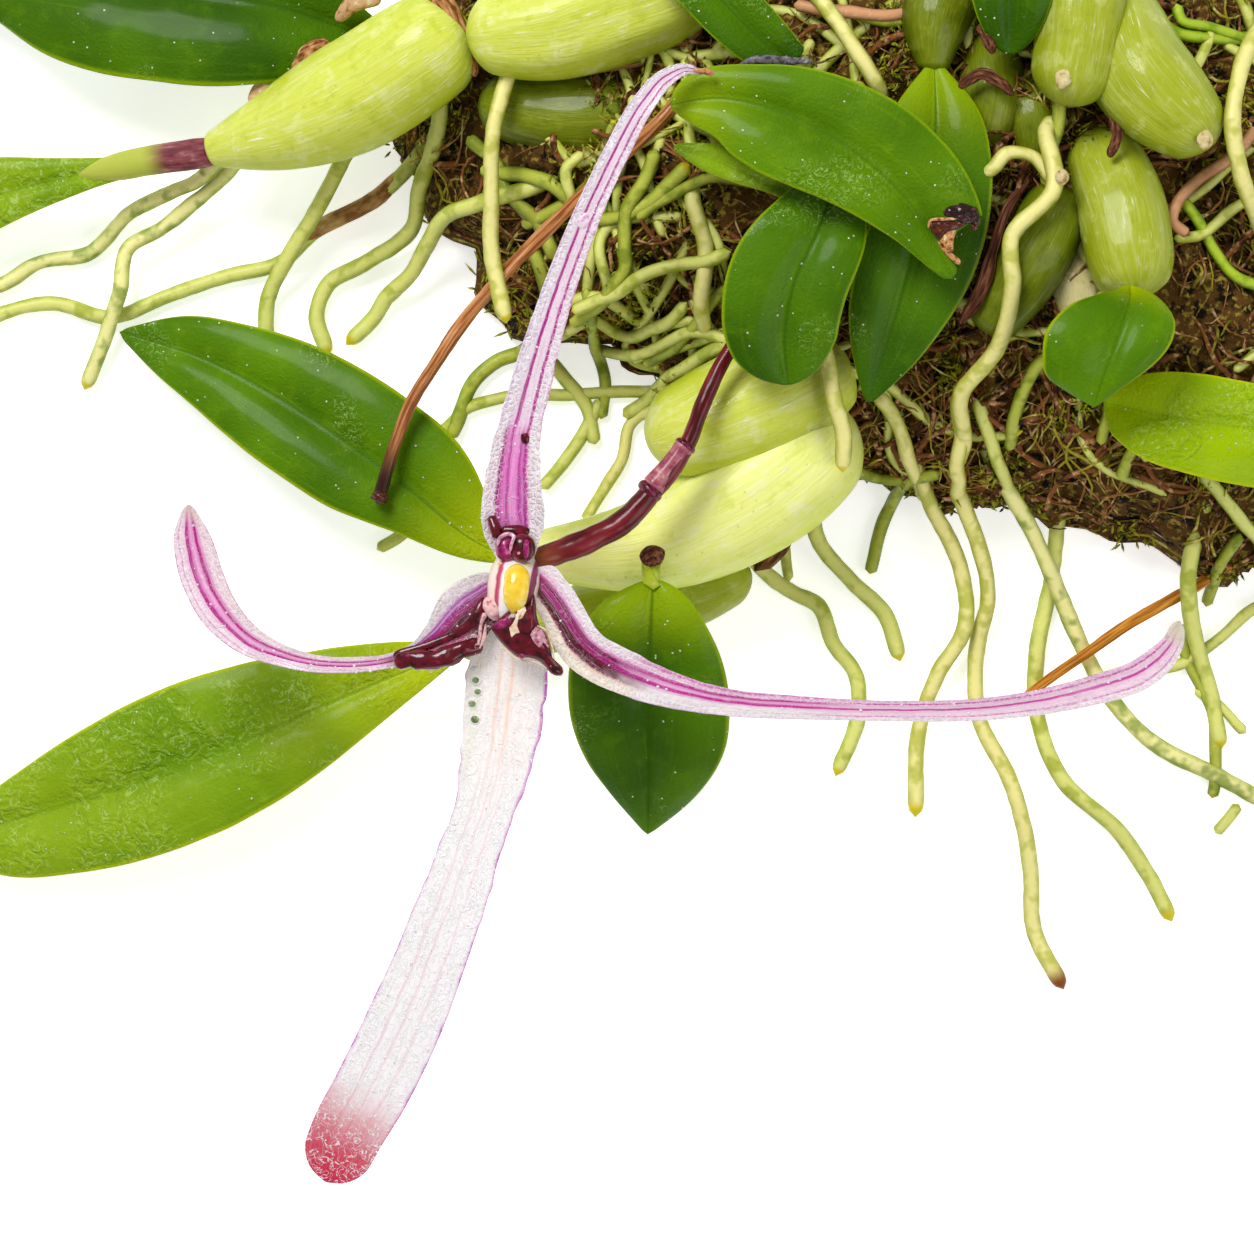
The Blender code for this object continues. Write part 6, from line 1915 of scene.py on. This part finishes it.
DETAILS: tuple[Part, ...] = (
    Part("left_bulb_collar", (
        Lump(((-105.4, 2.5, 14.3), (-109.5, 1.9, 13.9), (-115.2, 1.2, 13.1), (-121, 0.2, 12),
              (-127, -1, 10.6)), (1.9, 2.25, 2.2, 2.15, 2.1, 1.6, 0.4), 1, 0.02, 0.05),
    ), StrandFinish("purple_collar", "#6A2A34", "#8E4A50", "#C09890", 0.5, end="#B8C04C", end_start=0.4),
       "bulb"),
    Part("torn_leaf_petiole", (
        Lump(((-38.5, 6.6, 34.4), (-38.7, 7, 38.5), (-37.2, 7.3, 42.2), (-34.5, 7.7, 43.4)),
             (1.2, 1.1, 1.1, 0.8), 1, 0.03, 0.06),
    ), FleshFinish("green_petiole", "#86A012", "#A8BE3A", "#6A860A", 2.5), "leaf"),
    Part("tan_root_skin", (
        Lump(((-79.5, 0.1, 7.6), (-83, -3.5, 6), (-87.5, -5.9, 4.5), (-92, -8, 3.2), (-95.5, -10.7, 2.2)),
             (0.9, 1.25, 1.25, 1.25, 0.8), 1, 0.05, 0.1),
    ), StrandFinish("tan_dry_velamen", "#8A5A2C", "#BE9058", "#E4CC98", 0.6, 0, 5), "root"),
    Part("bulb_junction_husk", (
        Lump(((-74.8, 24.5, 26), (-72.3, 20.5, 27), (-70.3, 16, 26.5), (-68.2, 12, 25)), (1.8, 2.1, 1.7, 0.8),
             0.7, 0.1),
    ), HUSK, "rhizome"),
    Part("left_bulb_sheath", (
        Lump(((-100.9, 8.6, 17), (-98.7, 11, 17.5), (-96, 12.8, 18)), (1.2, 1.7, 1.3), 0.7, 0.12),
        Lump(((-88.5, 20.5, 20), (-86, 22.8, 21), (-82, 23.5, 21)), (0.8, 1.2, 0.8), 0.7, 0.12),
    ), FleshFinish("tan_dry_sheath", "#D2A87C", "#EED8B8", "#A0683C", 1.5, 0, 0.7), "rhizome"),
    Part("upper_bulb_husk", (
        Lump(((-60.5, 12.3, 27), (-55.5, 12.3, 27), (-50.5, 12.9, 27), (-44.8, 14.3, 27), (-40.5, 16.1, 27),
              (-36, 19, 27)), (0.4, 0.5, 0.7, 1, 1.6, 1.9), 0.8, 0.2),
        Lump(((-96.5, 12.4, 17.8), (-93, 15, 18.8), (-89.5, 17.4, 20)), (1.2, 1.8, 1.5), 0.7, 0.15),
    ), HUSK, "rhizome"),
    Part("centre_leaf_bract", (
        Pad(((-44.6, -57.4), (-43.9, -56.9), (-43.1, -58.6), (-41.9, -60.9), (-42.9, -61.5), (-44.4, -60.5)),
            28.7, 0.5, (0, 0.1)),
        Lump(((-42.7, -56.3, 25.6), (-42.8, -57.6, 27.2), (-43, -60.8, 27.7)), (1.1, 1.1, 0.9), 1, 0.04),
    ), FleshFinish("young_green_bract", "#B4C42C", "#E2E08C", "#93A814", 2.5), "young_leaf"),
    Part("centre_leaf_knob", (
        Lump(((-44.4, -57.6, 28.6), (-42.8, -56.6, 29.2), (-41.4, -57, 28.8)), (0.9, 1.5, 1), 0.8, 0.15),
    ), DARK_HUSK, "rhizome"),
    Part("root_bulb_husk", (
        Lump(((10.5, -3.4, 33.5), (7, -7.5, 36), (5, -13.5, 37), (2.6, -20.6, 36.5), (0.4, -24, 34.5)),
             (0.4, 0.7, 0.7, 1.1, 0.6), 0.5, 0.25),
    ), DARK_HUSK, "rhizome"),
    Part("bulb_scars", (
        Lump(((32.6, 1.1, 45.1), (35, 0.9, 44.1)), (1.1, 1.5, 1.1), 0.35, 0.08, 0.5),
        Lump(((13.2, -3.9, 41.4), (15.2, -3.9, 41.4)), (1, 1.2, 1), 0.8, 0.06, 0.5),
        Lump(((13, 10.2, 45.2), (15.2, 9, 44.9)), (0.9, 1.5, 0.9), 0.4, 0.3, 0.4),
    ), FleshFinish("dried_scar_cork", "#D8C68E", "#EDE2BC", "#A8884E", 1, 0, 0.8), "bulb"),
    Part("brown_curls", (
        Lump(((2.6, 17.4, 41), (4, 15, 42), (4.6, 13.4, 41)), (0.7, 0.9, 0.5), 0.7, 0.3),
        Lump(((0, 9, 37), (3.1, 10.8, 38.5), (5.9, 9.6, 38), (7.8, 7.9, 37)), (0.6, 0.9, 0.8, 0.5), 0.6, 0.3),
        Lump(((21.5, 5.5, 39.5), (22, 2, 40), (21, -1, 39.5)), (0.6, 0.9, 0.5), 0.6, 0.3),
    ), DARK_HUSK, "rhizome"),
    Part("torn_leaf_black_edge", (
        Pad(((-3, -9), (-2.2, -8.4), (-0.5, -7.7), (0.6, -8.1), (2, -8.5), (2.5, -10.1), (2.4, -10.9),
             (2, -11.2), (1.3, -10.8), (0, -10.7), (-2.6, -9.7)), 45.9, 0.9, (-0.1, 0), 0.3),
    ), FleshFinish("blackened_leaf_tissue", "#2A0C0C", "#6A4248", "#100406", 0.6, 0.7, 0.2, 0.4), "leaf"),
    Part("torn_leaf_brown_edge", (
        Pad(((-4.7, -10.7), (-3.9, -10.1), (-2.6, -9.8), (-0.7, -10.1), (0.9, -10.7), (-0.5, -11.5),
             (-2.4, -12), (-3.3, -12.9), (-4.2, -12.2)), 45.7, 0.6, (0, 0), 0.2),
        Lump(((1.2, -11, 45.8), (2, -11.5, 45.6)), (0.25, 0.4, 0.3), 1, 0.3),
    ), FleshFinish("browned_leaf_tissue", "#54200C", "#9A5A2C", "#2A0A04", 0.7, 0.6, 0.25, 0.4), "leaf"),
    Part("torn_leaf_tan_edge", (
        Pad(((-2.5, -11.8), (-0.8, -11.3), (-1.2, -12.9), (-1.3, -14.6), (-2, -14.6), (-3.2, -13.1)), 45.4,
            0.4, (0, 0.1), 0.4),
        Lump(((-4.8, -11.4, 45.8), (-4.5, -10.4, 46.2), (-2.7, -10.2, 46.4), (-0.7, -10.1, 46.4)),
             (0.2, 0.26, 0.24, 0.16), 1, 0.2),
        Lump(((-3.4, -13.2, 45.2), (-1.9, -14.9, 44.8), (-0.2, -16.2, 44.4)), (0.2, 0.34, 0.5), 0.8, 0.2),
    ), FleshFinish("dried_leaf_tissue", "#C89058", "#F0DCA8", "#7A3C14", 0.6, 0.5, 0.25, 0.4), "leaf"),
    Part("stalk_bract", (
        Lump(((-38.2, -40.9, 35.6), (-40.6, -44.1, 35.7), (-43.1, -47.2, 35.7)), (1.5, 1.4, 1.45, 1.6, 1.8),
             1, 0.02, 0.05),
    ), StrandFinish("pinkish_bract", "#8E3A50", "#B06470", "#E8B8A8", 0.35, 0.3, 5), "purple_stem"),
    Part("stalk_rings", (
        Lump(((-37.9, -40.5, 35.5), (-38.9, -41.9, 35.6)), (1.1, 1.6, 1.1), 1, 0.03, 0.3),
        Lump(((-42.7, -46.8, 35.6), (-44.1, -48.4, 35.6)), (1.5, 1.95, 1.5), 1, 0.03, 0.3),
    ), StrandFinish("purple_stalk_ring", "#3E0416", "#6C1434", "#A04868", 0.3, 0.4), "purple_stem"),
    Part("stalk_bract_spot", (
        Lump(((-43.1, -46.9, 37.1), (-42, -46, 37.1)), (0.4, 0.55, 0.4), 0.4),
    ), FleshFinish("yellow_spot_flesh", "#F0C848", "#F8E8A8", "#E0A040", 1), "purple_stem"),
    Part("old_stem_knob", (
        Lump(((-81.9, -47.2, 19.2), (-82.5, -48.8, 19.2)), (0.9, 1.25, 1.1), 1, 0.15),
    ), StrandFinish("charred_stem_end", "#2A100A", "#5A2A1C", "#A86A50", 0.4, 0.3), "dry_stem"),
    Part("upper_leaf_dry_end", (
        Lump(((-31, 11.9, 40.8), (-28, 12.6, 41.4), (-24.6, 12.4, 41.4), (-20.6, 12.4, 40.6)),
             (0.35, 0.6, 0.7, 0.5, 0.3), 0.7, 0.3),
    ), FleshFinish("grey_dry_leaf_edge", "#77707A", "#C4C0C6", "#3E3438", 0.8, 0.2, 0.6), "leaf"),
    Part("dorsal_sepal_dry_tip", (
        Lump(((-37.4, 10.4, 47.4), (-36, 10.3, 47.2), (-34.6, 9.9, 46.8)), (0.25, 0.4, 0.45), 0.7, 0.2),
    ), FleshFinish("dried_tepal_tip", "#C88C5C", "#E8C8A4", "#8A4A2A", 0.8, 0.1, 0.6), "petal"),
)


@dataclass
class Details:
    """Husks, scars and torn bits."""

    parts: tuple[Part, ...] = DETAILS

    def build(self) -> None:
        """Build and dress each of them."""
        for part in self.parts:
            part.build()


# ---- studio

@dataclass
class Studio:
    """A pale floor, soft light and the camera that looks straight down."""

    camera_place: tuple[float, float, float] = (-46.62, -66.78, 740.0)
    lens_mm: float = 143.5
    sensor_mm: float = 36.0
    clip_m: tuple[float, float] = (0.01, 20.0)
    aim_m: tuple[float, float, float] = (-0.03, -0.04, 0.03)
    floor_half_m: float = 4
    floor_glow: float = 0.6
    sky: float = 0.32
    lamps: tuple[tuple[str, tuple[float, float, float], float, float], ...] = (
        ("key_softbox", (-0.35, 0.45, 0.75), 0.4, 6.4),
        ("fill_softbox", (0.55, -0.35, 0.6), 0.6, 2.2),
    )

    def build(self) -> None:
        """Lay the floor, hang the lights so that each faces the plant, and place the camera."""
        g = Graph("white_studio_paint")
        g.dress("#FAFAFA", Roughness=0.9, Emission_Color="#FFFFFF", Emission_Strength=self.floor_glow)
        mesh = bpy.data.meshes.new("floor")
        far = self.floor_half_m
        mesh.from_pydata([(-far, -far, 0), (far, -far, 0), (far, far, 0), (-far, far, 0)], [], [(0, 1, 2, 3)])
        mesh.materials.append(g.material)
        floor = bpy.data.objects.new("floor", mesh)
        bpy.context.scene.collection.objects.link(floor)
        world = bpy.data.worlds.new("studio")
        world.use_nodes = True
        world.node_tree.nodes["Background"].inputs[0].default_value = linear("#FFFFFF")
        world.node_tree.nodes["Background"].inputs[1].default_value = self.sky
        bpy.context.scene.world = world
        for name, place, size, power in self.lamps:
            lamp = bpy.data.lights.new(name, "AREA")
            lamp.shape, lamp.size, lamp.energy = "DISK", size, power
            light = bpy.data.objects.new(name, lamp)
            light.location = place
            aim = np.array(self.aim_m) - np.array(place)
            light.rotation_euler = (math.atan2(math.hypot(aim[0], aim[1]), -aim[2]), 0.0,
                                    math.atan2(aim[0], -aim[1]) + math.pi)
            bpy.context.scene.collection.objects.link(light)
        lens = bpy.data.cameras.new("camera")
        lens.lens, lens.sensor_width = self.lens_mm, self.sensor_mm
        lens.clip_start, lens.clip_end = self.clip_m
        camera = bpy.data.objects.new("camera", lens)
        camera.location = [value * MM for value in self.camera_place]
        bpy.context.scene.collection.objects.link(camera)
        bpy.context.scene.camera = camera
        bpy.context.scene.view_settings.view_transform = "Standard"


def main() -> None:
    """Build the whole plant and its studio."""
    logging.basicConfig(level=logging.INFO, format="%(message)s")
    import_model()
    for part in (RootMass(), Pseudobulbs(), Leaves(), Strands(), Flower(), Details(), Studio()):
        part.build()
        LOG.info("%s: built", type(part).__name__)


if __name__ == "__main__":
    main()
